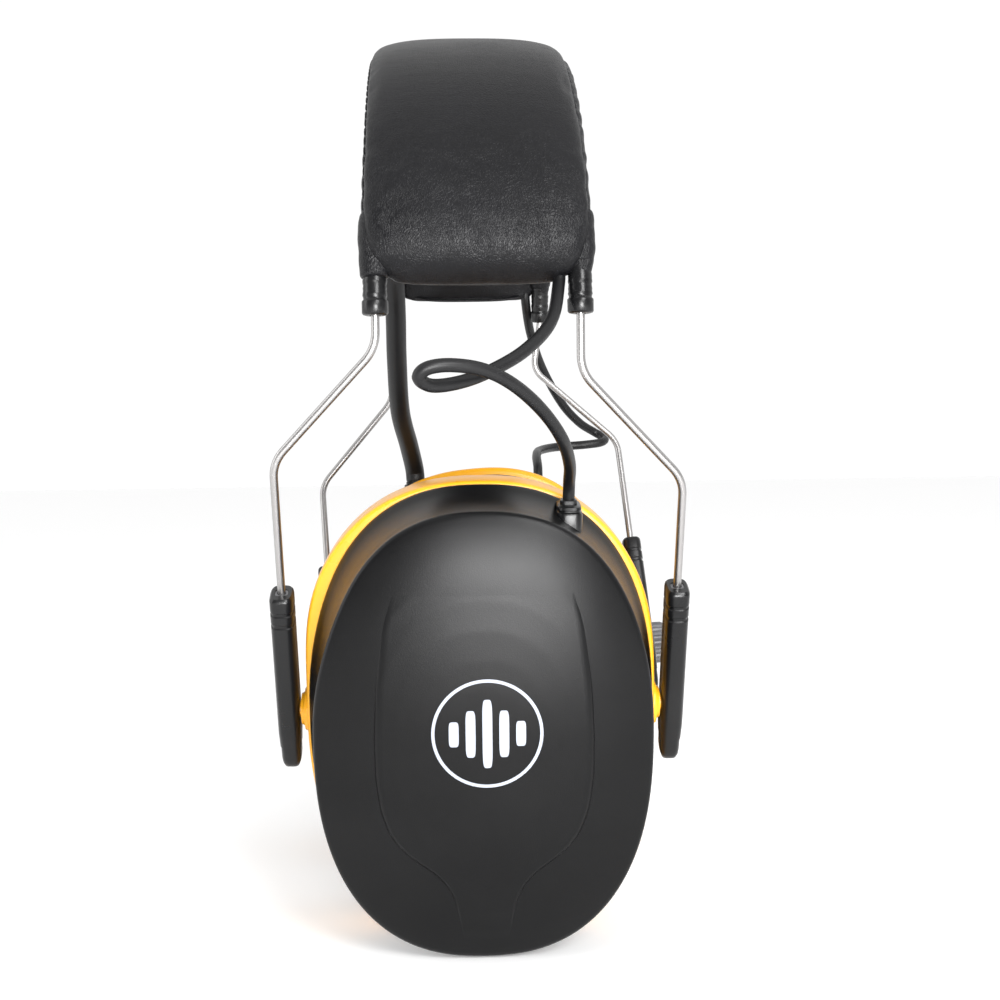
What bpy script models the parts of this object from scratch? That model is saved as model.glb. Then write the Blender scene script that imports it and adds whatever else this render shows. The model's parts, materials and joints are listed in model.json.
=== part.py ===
"""Earmuff hearing protector: two ear cups carried by spring wires under a padded headband.

Frame: origin where the pad rests on the crown of the head, +Z up, +Y from the left cup to the right
cup, +X towards the wearer's back. The arch, the sliders and the cups are placed along the side
view of the spring wire: a half circle over the head, then a straight leg that leans inwards.
Lengths are in metres.
"""

import math

import bmesh
import bpy
from mathutils import Matrix, Vector

MM = 0.001

# Spring wires, seen from the side: an arch, then a straight leg that leans towards the other cup
ARCH_R = 75.0 * MM
ARCH_DEPTH = 71.0 * MM  # from the crown of the head down to the arch's centre
LEG_LEAN = math.radians(22.0)
WIRE_R = 1.0 * MM
HEM_X = 23.9 * MM  # half the distance between the two wires in the pad
YOKE_X = 49.0 * MM  # the same beside the cups
PAD_SHIFT = 5.0 * MM  # the pad sits this far towards the left cup
WIRE_CREEP = 3.0 * MM  # the front wire has slid to the right and the rear wire to the left
RIGHT_ROLL = math.radians(4.5)  # the right cup hangs turned in its own plane
BEND_R = 4.0 * MM
# Distances along the wire from the top of the arch
BOOT_END = 110.4 * MM
UPPER_BEND = 126.0 * MM
LOWER_BEND = 153.2 * MM
SLIDER_TOP = 184.9 * MM
PIVOT = 218.4 * MM
WIRE_IN_SLIDER = 8.0 * MM

# Headband pad
PAD_W = 55.0 * MM
PAD_INNER_R = ARCH_DEPTH
PAD_OUTER_R = 83.5 * MM
PAD_END = 103.4 * MM  # along the wire, before the shift
COVER_WALL = 1.0 * MM
FOAM_W = 34.0 * MM
FOAM_T = 8.0 * MM
PLATE_T = 1.2 * MM
CLEAR = 0.3 * MM  # gap between pieces that rest on each other
BOOT_R = 2.85 * MM
BOOT_LENGTH = 17.0 * MM
BOOT_RING = 3.4 * MM  # height of the thicker ring at the mouth
SLEEVE_R = 1.6 * MM
LEAD_R = 1.5 * MM
LEAD_X = 19.0 * MM  # the lead runs between the foam and the rear wire

# Sliders
SLIDER_HALF_X = 2.95 * MM
SLIDER_HALF_Y = 4.5 * MM
SLIDER_LENGTH = 50.0 * MM
BORE_R = 1.5 * MM
BORE_DEPTH = 30.4 * MM
BUSH_R = 2.3 * MM
BUSH_LENGTH = 4.4 * MM
PIN_R = 2.2 * MM
PIN_HOLE_R = 2.3 * MM
PIN_TIP_X = 50.6 * MM

# Ear cups. "Out" is the distance from the pivot axis away from the head.
CUP_TILT = math.radians(8.0)  # the tops of the cups lean outwards
CUP_POWER = 2.4  # exponent of the oval
CUP_CENTRE_Z = 1.2 * MM  # the oval's centre above the pivot
BASE_HALF_W = 44.0 * MM
BASE_HALF_H = 58.0 * MM
BASE_FRONT = 6.0 * MM
BASE_BACK = -6.5 * MM
BASE_PLATE_T = 3.0 * MM
EAR_HOLE = (21.0 * MM, 30.0 * MM)
SHELL_REAR = BASE_FRONT + CLEAR
SHELL_CREASE = 31.0 * MM
SHELL_FRONT = 36.6 * MM
SHELL_WALL = 2.2 * MM
CUSHION_T = 17.0 * MM
SCREWS = ((0.0, 45.0 * MM), (-27.0 * MM, -33.0 * MM), (27.0 * MM, -33.0 * MM))
POST_R = 3.2 * MM
SCREW_R = 1.5 * MM
SCREW_HEAD_R = 3.0 * MM
NECK_R = 4.25 * MM
FLANGE_R = 5.6 * MM
FLANGE_X = 44.7 * MM
KNOB_R = 6.7 * MM
KNOB_OUT = 18.0 * MM
KNOB_Z = -1.0 * MM
KNOB_X = (44.5 * MM, 58.0 * MM)
RELIEF_X = 21.5 * MM
RELIEF_SIZE = (6.4 * MM, 12.4 * MM, 6.4 * MM)
RELIEF_TOP = 54.6 * MM
SOCKET_X = -18.3 * MM
SOCKET_SIZE = (8.4 * MM, 9.0 * MM, 9.0 * MM)
SOCKET_TOP = 57.5 * MM
ANTENNA_R = 3.0 * MM

OVAL_COUNT = 32
ROUND_COUNT = 16

LEFT, RIGHT = -1, 1
SIDES = {"left": LEFT, "right": RIGHT}
ENDS = {"front": -1, "rear": 1}

# Routes of the leads from the pad to the cups and of the whip antenna, chosen by hand, in millimetres
LEAD_ROUTES = {
    "left": (
        (19.0, -73.7, -57.1), (18.8, -75.4, -62.0), (16.4, -83, -71), (10, -91.5, -78),
        (1.8, -98, -82.9), (-4.8, -103, -85.4), (-10.7, -107, -86.2), (-13.4, -110, -84.6),
        (-11.5, -111, -82.7), (-6.4, -110, -82.1), (0.5, -107, -83.1), (7.1, -102, -86.3),
        (13.5, -94, -91.6), (18.4, -85, -97.8), (21, -73.5, -103.6), (21.5, -65.5, -108.2),
        (21.5, -63.0, -112.9),
    ),
    "right": (
        (19.0, 71.2, -47.4), (19.3, 73.2, -53), (21.4, 82, -62.5), (26, 93, -73.5), (33, 101, -85),
        (41, 107, -93.5), (47.5, 109, -97.2), (43, 108.5, -99.4), (36, 106, -99.8),
        (29, 99, -100.5), (24, 88, -101.6), (22.3, 75, -103.2), (22.1, 65.8, -106.6),
        (22.0, 63.1, -111.1),
    ),
}
ANTENNA_ROUTE = (
    (-18.0, 61.8, -110.4), (-18.4, 61.0, -106.2), (-19.8, 53.5, -99), (-22, 40.5, -88.3),
    (-22.3, 26, -73.3), (-22.1, 17, -62), (-22.2, 11, -52.5), (-22.5, 8.5, -46.5),
)

PARTS = "earmuff"
CUTTERS = "cutters"


def clear_scene():
    """Remove what the file starts with and make the two collections."""
    for obj in list(bpy.data.objects):
        bpy.data.objects.remove(obj, do_unlink=True)
    for name in (PARTS, CUTTERS):
        bpy.context.scene.collection.children.link(bpy.data.collections.new(name))


def make_material(name, colour, roughness, metallic=0.0):
    material = bpy.data.materials.new(name)
    material.use_nodes = True
    shader = material.node_tree.nodes["Principled BSDF"]
    shader.inputs["Base Color"].default_value = (*colour, 1.0)
    shader.inputs["Roughness"].default_value = roughness
    shader.inputs["Metallic"].default_value = metallic
    return material


def make_materials():
    looks = {
        "leatherette": ((0.018, 0.018, 0.019), 0.5),
        "foam": ((0.06, 0.06, 0.065), 0.95),
        "black_plastic": ((0.02, 0.02, 0.022), 0.42),
        "gloss_black": ((0.012, 0.012, 0.013), 0.22),
        "yellow_plastic": ((0.9, 0.45, 0.02), 0.35),
        "spring_steel": ((0.75, 0.75, 0.76), 0.15, 1.0),
        "screw_steel": ((0.6, 0.6, 0.62), 0.3, 1.0),
        "lead_jacket": ((0.015, 0.015, 0.016), 0.35),
        "grey_plastic": ((0.09, 0.09, 0.1), 0.5),
        "board_green": ((0.02, 0.16, 0.07), 0.5),
        "battery_silver": ((0.45, 0.46, 0.5), 0.4, 0.6),
    }
    return {name: make_material(name, *look) for name, look in looks.items()}


def place(obj, collection=PARTS, material=None, parent=None):
    """Move the object into its collection, with its material and parent."""
    for owner in list(obj.users_collection):
        owner.objects.unlink(obj)
    bpy.data.collections[collection].objects.link(obj)
    if material:
        obj.data.materials.clear()
        obj.data.materials.append(material)
    if parent:
        obj.parent = parent
    if collection == CUTTERS:
        obj.hide_render = True
        obj.display_type = "WIRE"
    return obj


def make_empty(name, matrix, parent=None):
    empty = bpy.data.objects.new(name, None)
    bpy.data.collections[PARTS].objects.link(empty)
    empty.parent = parent
    empty.matrix_basis = matrix
    return empty


def smooth(obj, degrees=35.0):
    obj.data.shade_smooth()
    obj.data.set_sharp_from_angle(angle=math.radians(degrees))


def loft(name, rings, material, parent=None, closed=False, collection=PARTS):
    """A solid through rings of equal point counts; closed joins the last ring to the first."""
    bm = bmesh.new()
    rows = [[bm.verts.new(point) for point in ring] for ring in rings]
    pairs = list(zip(rows, rows[1:]))
    if closed:
        pairs.append((rows[-1], rows[0]))
    for low, high in pairs:
        for i in range(len(low)):
            j = (i + 1) % len(low)
            bm.faces.new((low[i], low[j], high[j], high[i]))
    if not closed:
        bm.faces.new(rows[0])
        bm.faces.new(rows[-1])
    bmesh.ops.recalc_face_normals(bm, faces=bm.faces)
    mesh = bpy.data.meshes.new(name)
    bm.to_mesh(mesh)
    bm.free()
    obj = place(bpy.data.objects.new(name, mesh), collection, material, parent)
    smooth(obj)
    return obj


def turned(name, profile, material, parent=None, matrix=None, collection=PARTS):
    """A full turn about Z of (radius, height) points that run down the outer side."""
    mesh = bpy.data.meshes.new(name)
    points = [(radius, 0.0, height) for radius, height in profile]
    mesh.from_pydata(points, [(i, i + 1) for i in range(len(points) - 1)], [])
    obj = place(bpy.data.objects.new(name, mesh), collection, material, parent)
    obj.matrix_basis = matrix or Matrix.Identity(4)
    screw = obj.modifiers.new("turn", "SCREW")
    screw.steps = screw.render_steps = ROUND_COUNT
    screw.use_merge_vertices = True
    screw.merge_threshold = 0.00001
    screw.use_smooth_shade = True
    return obj


def ring_profile(inner, outer, low, high):
    """A closed rectangular profile for a turned tube."""
    return [(inner, high), (outer, high), (outer, low), (inner, low), (inner, high)]


def rod_profile(radius, low, high):
    return [(0.0, high), (radius, high), (radius, low), (0.0, low)]


def tube(name, points, radius, material, parent=None, resolution=2):
    """A round solid along a polyline."""
    curve = bpy.data.curves.new(name, "CURVE")
    curve.dimensions = "3D"
    curve.bevel_depth = radius
    curve.bevel_resolution = resolution
    curve.use_fill_caps = True
    spline = curve.splines.new("POLY")
    spline.points.add(len(points) - 1)
    for target, point in zip(spline.points, points):
        target.co = (*point, 1.0)
    return place(bpy.data.objects.new(name, curve), PARTS, material, parent)


def box(name, size, centre, material, parent=None, collection=PARTS):
    bpy.ops.mesh.primitive_cube_add(size=1.0)
    obj = bpy.context.object
    obj.name = obj.data.name = name
    place(obj, collection, material, parent)
    obj.data.transform(Matrix.Diagonal((*size, 1.0)))
    obj.matrix_basis = Matrix.Translation(centre)
    return obj


def bevelled(obj, width, segments=2):
    bevel = obj.modifiers.new("edges", "BEVEL")
    bevel.width = width
    bevel.segments = segments
    return obj


def combine(obj, other, operation):
    """Cut or join another object into this one."""
    boolean = obj.modifiers.new(other.name, "BOOLEAN")
    boolean.operation = operation
    boolean.object = other
    boolean.solver = "EXACT"


def power_oval(half_w, half_h, power, count):
    """Points round |x/w|^p + |z/h|^p = 1."""
    points = []
    for i in range(count):
        angle = 2.0 * math.pi * i / count
        c, s = math.cos(angle), math.sin(angle)
        points.append((
            half_w * math.copysign(abs(c) ** (2.0 / power), c),
            half_h * math.copysign(abs(s) ** (2.0 / power), s),
        ))
    return points


def wire_side(distance):
    """Offset from the symmetry plane and height of the wire at a distance from the arch's top."""
    arch_end = ARCH_R * (math.pi / 2.0 + LEG_LEAN)
    if distance <= arch_end:
        angle = distance / ARCH_R
        return ARCH_R * math.sin(angle), ARCH_R * math.cos(angle) - ARCH_DEPTH
    leg = distance - arch_end
    return (
        ARCH_R * math.cos(LEG_LEAN) - leg * math.sin(LEG_LEAN),
        -ARCH_R * math.sin(LEG_LEAN) - leg * math.cos(LEG_LEAN) - ARCH_DEPTH,
    )


def wire_point(side, x, distance):
    offset, height = wire_side(distance)
    return Vector((x, side * offset, height))


def shifted(side, distance):
    """A distance along the wire, moved with the pad towards the left."""
    return distance - side * PAD_SHIFT


def arm_matrix(side):
    """Where the arm's own flat frame lies: the right arm is rolled about its lower bends."""
    if side == LEFT:
        return Matrix.Identity(4)
    centre = Vector((0.0, 0.0, wire_side(LOWER_BEND)[1]))
    roll = Matrix.Rotation(-RIGHT_ROLL, 4, "Y")
    return Matrix.Translation(centre) @ roll @ Matrix.Translation(-centre)


def rounded(points, radius, steps=4):
    """The polyline with each inner corner replaced by a short curve."""
    path = [points[0]]
    for before, corner, after in zip(points, points[1:], points[2:]):
        start = corner + (before - corner).normalized() * radius
        end = corner + (after - corner).normalized() * radius
        for i in range(steps + 1):
            t = i / steps
            path.append(start * (1 - t) ** 2 + corner * 2 * t * (1 - t) + end * t ** 2)
    path.append(points[-1])
    return path


def smooth_route(points, steps=2):
    """A Catmull-Rom curve through the points."""
    padded = [points[0] * 2 - points[1], *points, points[-1] * 2 - points[-2]]
    path = []
    for a, b, c, d in zip(padded, padded[1:], padded[2:], padded[3:]):
        for i in range(steps):
            t = i / steps
            path.append(0.5 * (
                2 * b + (c - a) * t + (2 * a - 5 * b + 4 * c - d) * t ** 2
                + (3 * b - a - 3 * c + d) * t ** 3
            ))
    path.append(points[-1])
    return path


# --- headband ---------------------------------------------------------------------------------


def arc_section(side_distance, half_w, low_r, high_r, power, count):
    """An oval section of the pad at a signed distance along the wire."""
    angle = side_distance / ARCH_R
    middle, half = (low_r + high_r) / 2.0, (high_r - low_r) / 2.0
    ring = []
    for x, lift in power_oval(half_w, half, power, count):
        radius = middle + lift
        ring.append(Vector((x, radius * math.sin(angle), radius * math.cos(angle) - ARCH_DEPTH)))
    return ring


def arc_sections(half_w, low_r, high_r, inset=0.0, power=8.0, count=24, steps=14):
    start = -shifted(LEFT, PAD_END) + inset
    end = shifted(RIGHT, PAD_END) - inset
    return [
        arc_section(start + (end - start) * i / steps, half_w, low_r, high_r, power, count)
        for i in range(steps + 1)
    ]


def make_headband(materials):
    half_w = PAD_W / 2.0
    outer = arc_sections(half_w, PAD_INNER_R, PAD_OUTER_R, power=4.5)
    inner = arc_sections(
        half_w - COVER_WALL, PAD_INNER_R + COVER_WALL, PAD_OUTER_R - COVER_WALL, power=4.5
    )
    loft("headband_cover", outer + inner[::-1], materials["leatherette"], closed=True)
    foam_low = PAD_INNER_R + COVER_WALL + CLEAR
    foam_high = foam_low + FOAM_T
    foam_inset = 2.0 * MM
    loft(
        "headband_foam",
        arc_sections(FOAM_W / 2.0, foam_low, foam_high, foam_inset, count=12),
        materials["foam"],
    )
    plate_low = foam_high + CLEAR
    loft(
        "crown_plate",
        arc_sections(FOAM_W / 2.0, plate_low, plate_low + PLATE_T, 10.0 * MM, count=12),
        materials["black_plastic"],
    )
    for end_name, end in ENDS.items():
        make_crown_wire(end_name, end, materials)
    left_end, right_end = -shifted(LEFT, BOOT_END), shifted(RIGHT, BOOT_END)
    inside_boots = 12.0 * MM
    path = arch_path(LEAD_X, left_end + inside_boots, right_end - inside_boots)
    tube("crown_lead", path, LEAD_R, materials["lead_jacket"])


def arch_path(x, start, end, steps=26):
    """Points along the arch between two signed distances from its top."""
    path = []
    for i in range(steps + 1):
        angle = (start + (end - start) * i / steps) / ARCH_R
        path.append(Vector((x, ARCH_R * math.sin(angle), ARCH_R * math.cos(angle) - ARCH_DEPTH)))
    return path


def make_crown_wire(end_name, end, materials):
    """One spring wire inside the pad's hem, with a boot where it leaves at each end."""
    x = end * HEM_X
    left_end, right_end = -shifted(LEFT, BOOT_END), shifted(RIGHT, BOOT_END)
    path = arch_path(x, left_end, right_end)
    tube(f"{end_name}_crown_wire", path, WIRE_R, materials["spring_steel"])
    for side_name, side in SIDES.items():
        make_boot(f"{side_name}_{end_name}_boot", side, x, materials)


def make_boot(name, side, x, materials):
    """A moulded sleeve round the wire: thin inside the hem, thick below it, with a ring at its mouth."""
    mouth = shifted(side, BOOT_END)
    visible = BOOT_END - PAD_END - CLEAR
    lip = 0.25 * MM
    outside = [
        (BOOT_LENGTH, SLEEVE_R), (visible, SLEEVE_R), (visible, BOOT_R), (BOOT_RING, BOOT_R),
        (BOOT_RING - lip, BOOT_R + lip), (lip, BOOT_R + lip), (0.0, BOOT_R - lip),
    ]
    hole = WIRE_R + CLEAR
    inside = [(BOOT_LENGTH * i / 3.0, hole) for i in range(4)]
    rings = [boot_ring(side, x, mouth - above, radius) for above, radius in outside + inside]
    loft(name, rings, materials["gloss_black"], closed=True)


def boot_ring(side, x, distance, radius, count=12):
    angle = side * distance / ARCH_R
    ring = []
    for i in range(count):
        turn = 2.0 * math.pi * i / count
        along = ARCH_R + radius * math.sin(turn)
        ring.append(Vector((
            x + radius * math.cos(turn),
            along * math.sin(angle),
            along * math.cos(angle) - ARCH_DEPTH,
        )))
    return ring


# --- arms and sliders -------------------------------------------------------------------------


def make_arm_wire(side_name, side, end_name, end, materials):
    """The bare wire from the boot's mouth down into the slider."""
    creep = -side * end * WIRE_CREEP
    arm = arm_matrix(side)
    start = shifted(side, BOOT_END) + CLEAR
    first = wire_point(side, end * HEM_X, start)
    knee = arm @ wire_point(side, end * HEM_X, UPPER_BEND + creep)
    ankle = arm @ wire_point(side, end * YOKE_X, LOWER_BEND + creep)
    tip = arm @ wire_point(side, end * YOKE_X, SLIDER_TOP + WIRE_IN_SLIDER + creep)
    path = rounded([first, knee, ankle, tip], BEND_R)
    tube(f"{side_name}_{end_name}_wire", path, WIRE_R, materials["spring_steel"])


def slider_section(height, half_x, half_y, power=5.0):
    return [Vector((x, y, height)) for x, y in power_oval(half_x, half_y, power, ROUND_COUNT)]


def slider_sections():
    """Outer sections from the closed bottom up to the mouth, then the bore down again."""
    x, y = SLIDER_HALF_X, SLIDER_HALF_Y
    taper = PIVOT - SLIDER_TOP + 5.0 * MM
    outer = [
        slider_section(-SLIDER_LENGTH, 0.45 * x, 0.4 * y, 2.5),
        slider_section(-SLIDER_LENGTH + 1.0 * MM, 0.72 * x, 0.66 * y, 3.0),
        slider_section(-SLIDER_LENGTH + 3.0 * MM, 0.86 * x, 0.8 * y),
        slider_section(-taper, x, y),
    ]
    seat, bore = BUSH_R + 0.1 * MM, BORE_R
    depth = BUSH_LENGTH + CLEAR
    return outer + [
        slider_section(-0.6 * MM, x, y),
        slider_section(0.0, x - 0.4 * MM, y - 0.6 * MM),
        slider_section(0.0, seat, seat, 2.0),
        slider_section(-depth, seat, seat, 2.0),
        slider_section(-depth, bore, bore, 2.0),
        slider_section(-BORE_DEPTH, bore, bore, 2.0),
    ]


def make_slider(side_name, side, end_name, end, arm, materials):
    """A blind tube on the wire's end, with a guide bush in its mouth and a hole for the cup's pin."""
    name = f"{side_name}_{end_name}"
    lean = Matrix.Rotation(-side * LEG_LEAN, 4, "X")
    top = wire_point(side, end * YOKE_X, SLIDER_TOP)
    axis = make_empty(f"{name}_slide_axis", Matrix.Translation(top) @ lean, arm)
    body = loft(f"{name}_slider", slider_sections(), materials["gloss_black"], axis)
    hole_low = -SLIDER_HALF_X - 1.0 * MM
    hole_high = PIN_TIP_X + CLEAR - YOKE_X
    across = Matrix.Rotation(end * math.pi / 2.0, 4, "Y")
    pivot = Matrix.Translation((0.0, 0.0, -(PIVOT - SLIDER_TOP)))
    hole = turned(
        f"{name}_pin_hole", rod_profile(PIN_HOLE_R, hole_low, hole_high), None,
        axis, pivot @ across, CUTTERS,
    )
    combine(body, hole, "DIFFERENCE")
    bush_hole = WIRE_R + 0.15 * MM
    turned(
        f"{name}_guide_bush",
        ring_profile(bush_hole, BUSH_R - 0.1 * MM, -BUSH_LENGTH, -0.2 * MM),
        materials["grey_plastic"], axis,
    )


# --- cups -------------------------------------------------------------------------------------


def cup_ring(side, half_w, half_h, out, count=OVAL_COUNT):
    """An oval of the cup at a distance out from the pivot axis, in the cup's own frame."""
    return [
        Vector((x, side * out, z + CUP_CENTRE_Z))
        for x, z in power_oval(half_w, half_h, CUP_POWER, count)
    ]


def out_axis(side, x, out, z):
    """A frame on the cup whose Z points out, away from the head."""
    return Matrix.Translation((x, side * out, z)) @ Matrix.Rotation(-side * math.pi / 2.0, 4, "X")


def across_axis(end, out_y, z):
    """A frame on the cup whose Z points to the front or the rear."""
    return Matrix.Translation((0.0, out_y, z)) @ Matrix.Rotation(end * math.pi / 2.0, 4, "Y")


def make_base(name, side, cup, materials):
    """Yellow tray: a rim, a back plate with the ear's opening, and a pivot boss at each side."""
    w, h = BASE_HALF_W, BASE_HALF_H
    plate_front = BASE_BACK + BASE_PLATE_T
    inner_w, inner_h = w - 3.2 * MM, h - 3.2 * MM
    sections = [
        (w, h, BASE_FRONT - 0.5 * MM), (w, h, 0.0), (w - 0.3 * MM, h - 0.3 * MM, BASE_BACK + 1.2 * MM),
        (w - 1.4 * MM, h - 1.4 * MM, BASE_BACK), (*EAR_HOLE, BASE_BACK), (*EAR_HOLE, plate_front),
        (inner_w, inner_h, plate_front), (inner_w, inner_h, BASE_FRONT),
        (w - 0.5 * MM, h - 0.5 * MM, BASE_FRONT),
    ]
    rings = [cup_ring(side, *section) for section in sections]
    base = loft(f"{name}_cup_base", rings, materials["yellow_plastic"], cup, closed=True)
    inside_x = w - 2.0 * MM
    slider_face = YOKE_X - SLIDER_HALF_X
    flange_low = w - 0.4 * MM
    for end_name, end in ENDS.items():
        boss = turned(
            f"{name}_{end_name}_boss",
            [
                (0.0, PIN_TIP_X), (PIN_R - 0.3 * MM, PIN_TIP_X), (PIN_R, PIN_TIP_X - 0.5 * MM),
                (PIN_R, slider_face - CLEAR), (NECK_R, slider_face - CLEAR), (NECK_R, FLANGE_X),
                (FLANGE_R, FLANGE_X), (FLANGE_R, flange_low), (NECK_R, flange_low),
                (NECK_R, inside_x), (0.0, inside_x),
            ],
            None, cup, across_axis(end, 0.0, 0.0), CUTTERS,
        )
        combine(base, boss, "UNION")
    head_seat = BASE_BACK + 2.0 * MM
    for i, (x, z) in enumerate(SCREWS, 1):
        hole = turned(
            f"{name}_screw_hole_{i}",
            [
                (0.0, plate_front + 1.0 * MM), (SCREW_R + CLEAR, plate_front + 1.0 * MM),
                (SCREW_R + CLEAR, head_seat), (SCREW_HEAD_R + CLEAR, head_seat),
                (SCREW_HEAD_R + CLEAR, BASE_BACK - 1.0 * MM), (0.0, BASE_BACK - 1.0 * MM),
            ],
            None, cup, out_axis(side, x, 0.0, z), CUTTERS,
        )
        combine(base, hole, "DIFFERENCE")


def shell_sections():
    """Outer half sizes of the black shell against distance out: (width, height, out)."""
    return [
        (43.2 * MM, 57.4 * MM, SHELL_REAR), (42.4 * MM, 56.6 * MM, 9.0 * MM),
        (41.4 * MM, 55.9 * MM, 14.0 * MM), (40.6 * MM, 55.2 * MM, 22.0 * MM),
        (40.0 * MM, 54.6 * MM, SHELL_CREASE - 1.0 * MM), (38.9 * MM, 53.4 * MM, SHELL_CREASE + 0.6 * MM),
        (34.0 * MM, 46.5 * MM, 33.6 * MM), (25.0 * MM, 34.0 * MM, 35.6 * MM),
        (13.0 * MM, 18.0 * MM, SHELL_FRONT),
    ]


def make_shell(name, side, cup, materials):
    """Black outer shell with three screw posts inside."""
    outer = shell_sections()
    inner = [
        (w - SHELL_WALL, h - SHELL_WALL, max(out - SHELL_WALL, SHELL_REAR))
        for w, h, out in outer
    ]
    rings = [cup_ring(side, *section) for section in outer[::-1] + inner]
    shell = loft(f"{name}_cup_shell", rings, materials["black_plastic"], cup)
    post_low = BASE_BACK + BASE_PLATE_T + CLEAR
    post_high = SHELL_CREASE + 0.9 * MM
    bore_end = post_low + 17.0 * MM
    bore = SCREW_R + CLEAR
    for i, (x, z) in enumerate(SCREWS, 1):
        post = turned(
            f"{name}_post_{i}",
            [
                (0.0, post_high), (POST_R, post_high), (POST_R, post_low), (bore, post_low),
                (bore, bore_end), (0.0, bore_end),
            ],
            None, cup, out_axis(side, x, 0.0, z), CUTTERS,
        )
        combine(shell, post, "UNION")
    if side == RIGHT:
        hole = turned(
            f"{name}_knob_hole",
            rod_profile(2.4 * MM, 30.0 * MM, 46.0 * MM), None, cup,
            across_axis(1, side * KNOB_OUT, KNOB_Z), CUTTERS,
        )
        combine(shell, hole, "DIFFERENCE")


def make_screws(name, side, cup, materials):
    head_low = BASE_BACK + 0.2 * MM
    head_high = head_low + 1.5 * MM
    tip = head_high + 16.0 * MM
    for i, (x, z) in enumerate(SCREWS, 1):
        turned(
            f"{name}_shell_screw_{i}",
            [
                (0.0, tip), (0.5 * MM, tip), (SCREW_R, tip - 1.5 * MM), (SCREW_R, head_high),
                (SCREW_HEAD_R, head_high), (SCREW_HEAD_R - 0.5 * MM, head_low), (0.0, head_low),
            ],
            materials["screw_steel"], cup, out_axis(side, x, 0.0, z),
        )


def make_cushion(name, side, cup, materials):
    """Clip ring and the soft ear cushion on it."""
    ring_high = BASE_BACK - CLEAR
    ring_low = ring_high - 1.8 * MM
    sections = [
        (41.0 * MM, 54.0 * MM, ring_high), (41.0 * MM, 54.0 * MM, ring_low),
        (23.0 * MM, 32.0 * MM, ring_low), (23.0 * MM, 32.0 * MM, ring_high),
    ]
    rings = [cup_ring(side, *section) for section in sections]
    loft(f"{name}_cushion_ring", rings, materials["black_plastic"], cup, closed=True)
    back = ring_low - CLEAR
    face = back - CUSHION_T
    sections = [
        (39.0 * MM, 52.0 * MM, back), (41.6 * MM, 54.4 * MM, back - 3.0 * MM),
        (42.0 * MM, 54.8 * MM, back - 8.0 * MM), (41.2 * MM, 54.0 * MM, face + 4.0 * MM),
        (38.4 * MM, 51.4 * MM, face + 1.0 * MM), (34.6 * MM, 47.6 * MM, face),
        (27.0 * MM, 37.0 * MM, face), (23.0 * MM, 32.0 * MM, face + 1.0 * MM),
        (20.6 * MM, 29.0 * MM, face + 4.0 * MM), (20.0 * MM, 28.5 * MM, back - 8.0 * MM),
        (21.5 * MM, 30.5 * MM, back),
    ]
    rings = [cup_ring(side, *section) for section in sections]
    loft(f"{name}_ear_cushion", rings, materials["leatherette"], cup, closed=True)


def make_sound_parts(name, side, cup, materials):
    """Speaker behind a thin foam, and the sound-absorbing foam in the shell."""
    low = BASE_BACK + BASE_PLATE_T + CLEAR
    high = low + 3.0 * MM
    rings = [cup_ring(side, 29.0 * MM, 40.0 * MM, out, 24) for out in (low, high)]
    loft(f"{name}_ear_foam", rings, materials["foam"], cup)
    back = high + CLEAR
    turned(
        f"{name}_speaker",
        [
            (0.0, back + 9.0 * MM), (9.0 * MM, back + 9.0 * MM), (9.5 * MM, back + 5.5 * MM),
            (17.0 * MM, back + 4.0 * MM), (18.0 * MM, back + 3.0 * MM), (18.0 * MM, back), (0.0, back),
        ],
        materials["grey_plastic"], cup, out_axis(side, 0.0, 0.0, CUP_CENTRE_Z),
    )
    deep, shallow = 29.0 * MM, 20.5 * MM
    rings = [
        cup_ring(side, 26.0 * MM, 38.0 * MM, shallow, 24), cup_ring(side, 25.0 * MM, 37.0 * MM, deep, 24)
    ]
    loft(f"{name}_sound_foam", rings, materials["foam"], cup)


def rim_block(name, side, cup, x, top, size, material):
    """A block standing in a slot of the shell's rim, at the top of the cup."""
    shell = bpy.data.objects[f"{'left' if side == LEFT else 'right'}_cup_shell"]
    low = SHELL_REAR + CLEAR
    centre = Vector((x, side * (low + size[1] / 2.0), top - size[2] / 2.0))
    slot_size = [length + 2.0 * CLEAR for length in size[:2]] + [4.0 * size[2]]
    slot_size[1] += 2.0 * CLEAR
    slot_centre = centre + Vector((0.0, -side * CLEAR, size[2]))
    slot = box(f"{name}_slot", slot_size, slot_centre, None, cup, CUTTERS)
    combine(shell, slot, "DIFFERENCE")
    bevelled(box(name, size, centre, material, cup), 0.8 * MM)


def make_left_electronics(side, cup, materials):
    centre = Vector((0.0, side * 15.4 * MM, -2.0 * MM))
    battery = box("left_battery", (36 * MM, 7 * MM, 50 * MM), centre, materials["battery_silver"], cup)
    bevelled(battery, 1.5 * MM)


def make_right_electronics(side, cup, materials):
    """Radio board, volume knob and antenna of the right cup."""
    board_out = 13.5 * MM
    box(
        "right_circuit_board", (40 * MM, 1.6 * MM, 52 * MM), (-6 * MM, side * board_out, -2 * MM),
        materials["board_green"], cup,
    )
    knob_frame = across_axis(1, side * KNOB_OUT, KNOB_Z)
    dial_x, dial_end = KNOB_X
    rim = 0.8 * MM
    stem = 1.8 * MM
    turned(
        "volume_knob",
        [
            (0.0, dial_end), (KNOB_R - rim, dial_end), (KNOB_R, dial_end - rim),
            (KNOB_R, dial_x + rim), (KNOB_R - rim, dial_x), (stem, dial_x), (stem, 36.0 * MM),
            (0.0, 36.0 * MM),
        ],
        materials["grey_plastic"], cup, knob_frame,
    )
    rotary = box(
        "volume_control", (7 * MM, 9 * MM, 9 * MM),
        (31.5 * MM, side * KNOB_OUT, KNOB_Z), materials["black_plastic"], cup,
    )
    bevelled(rotary, 0.5 * MM, 1)


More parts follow.
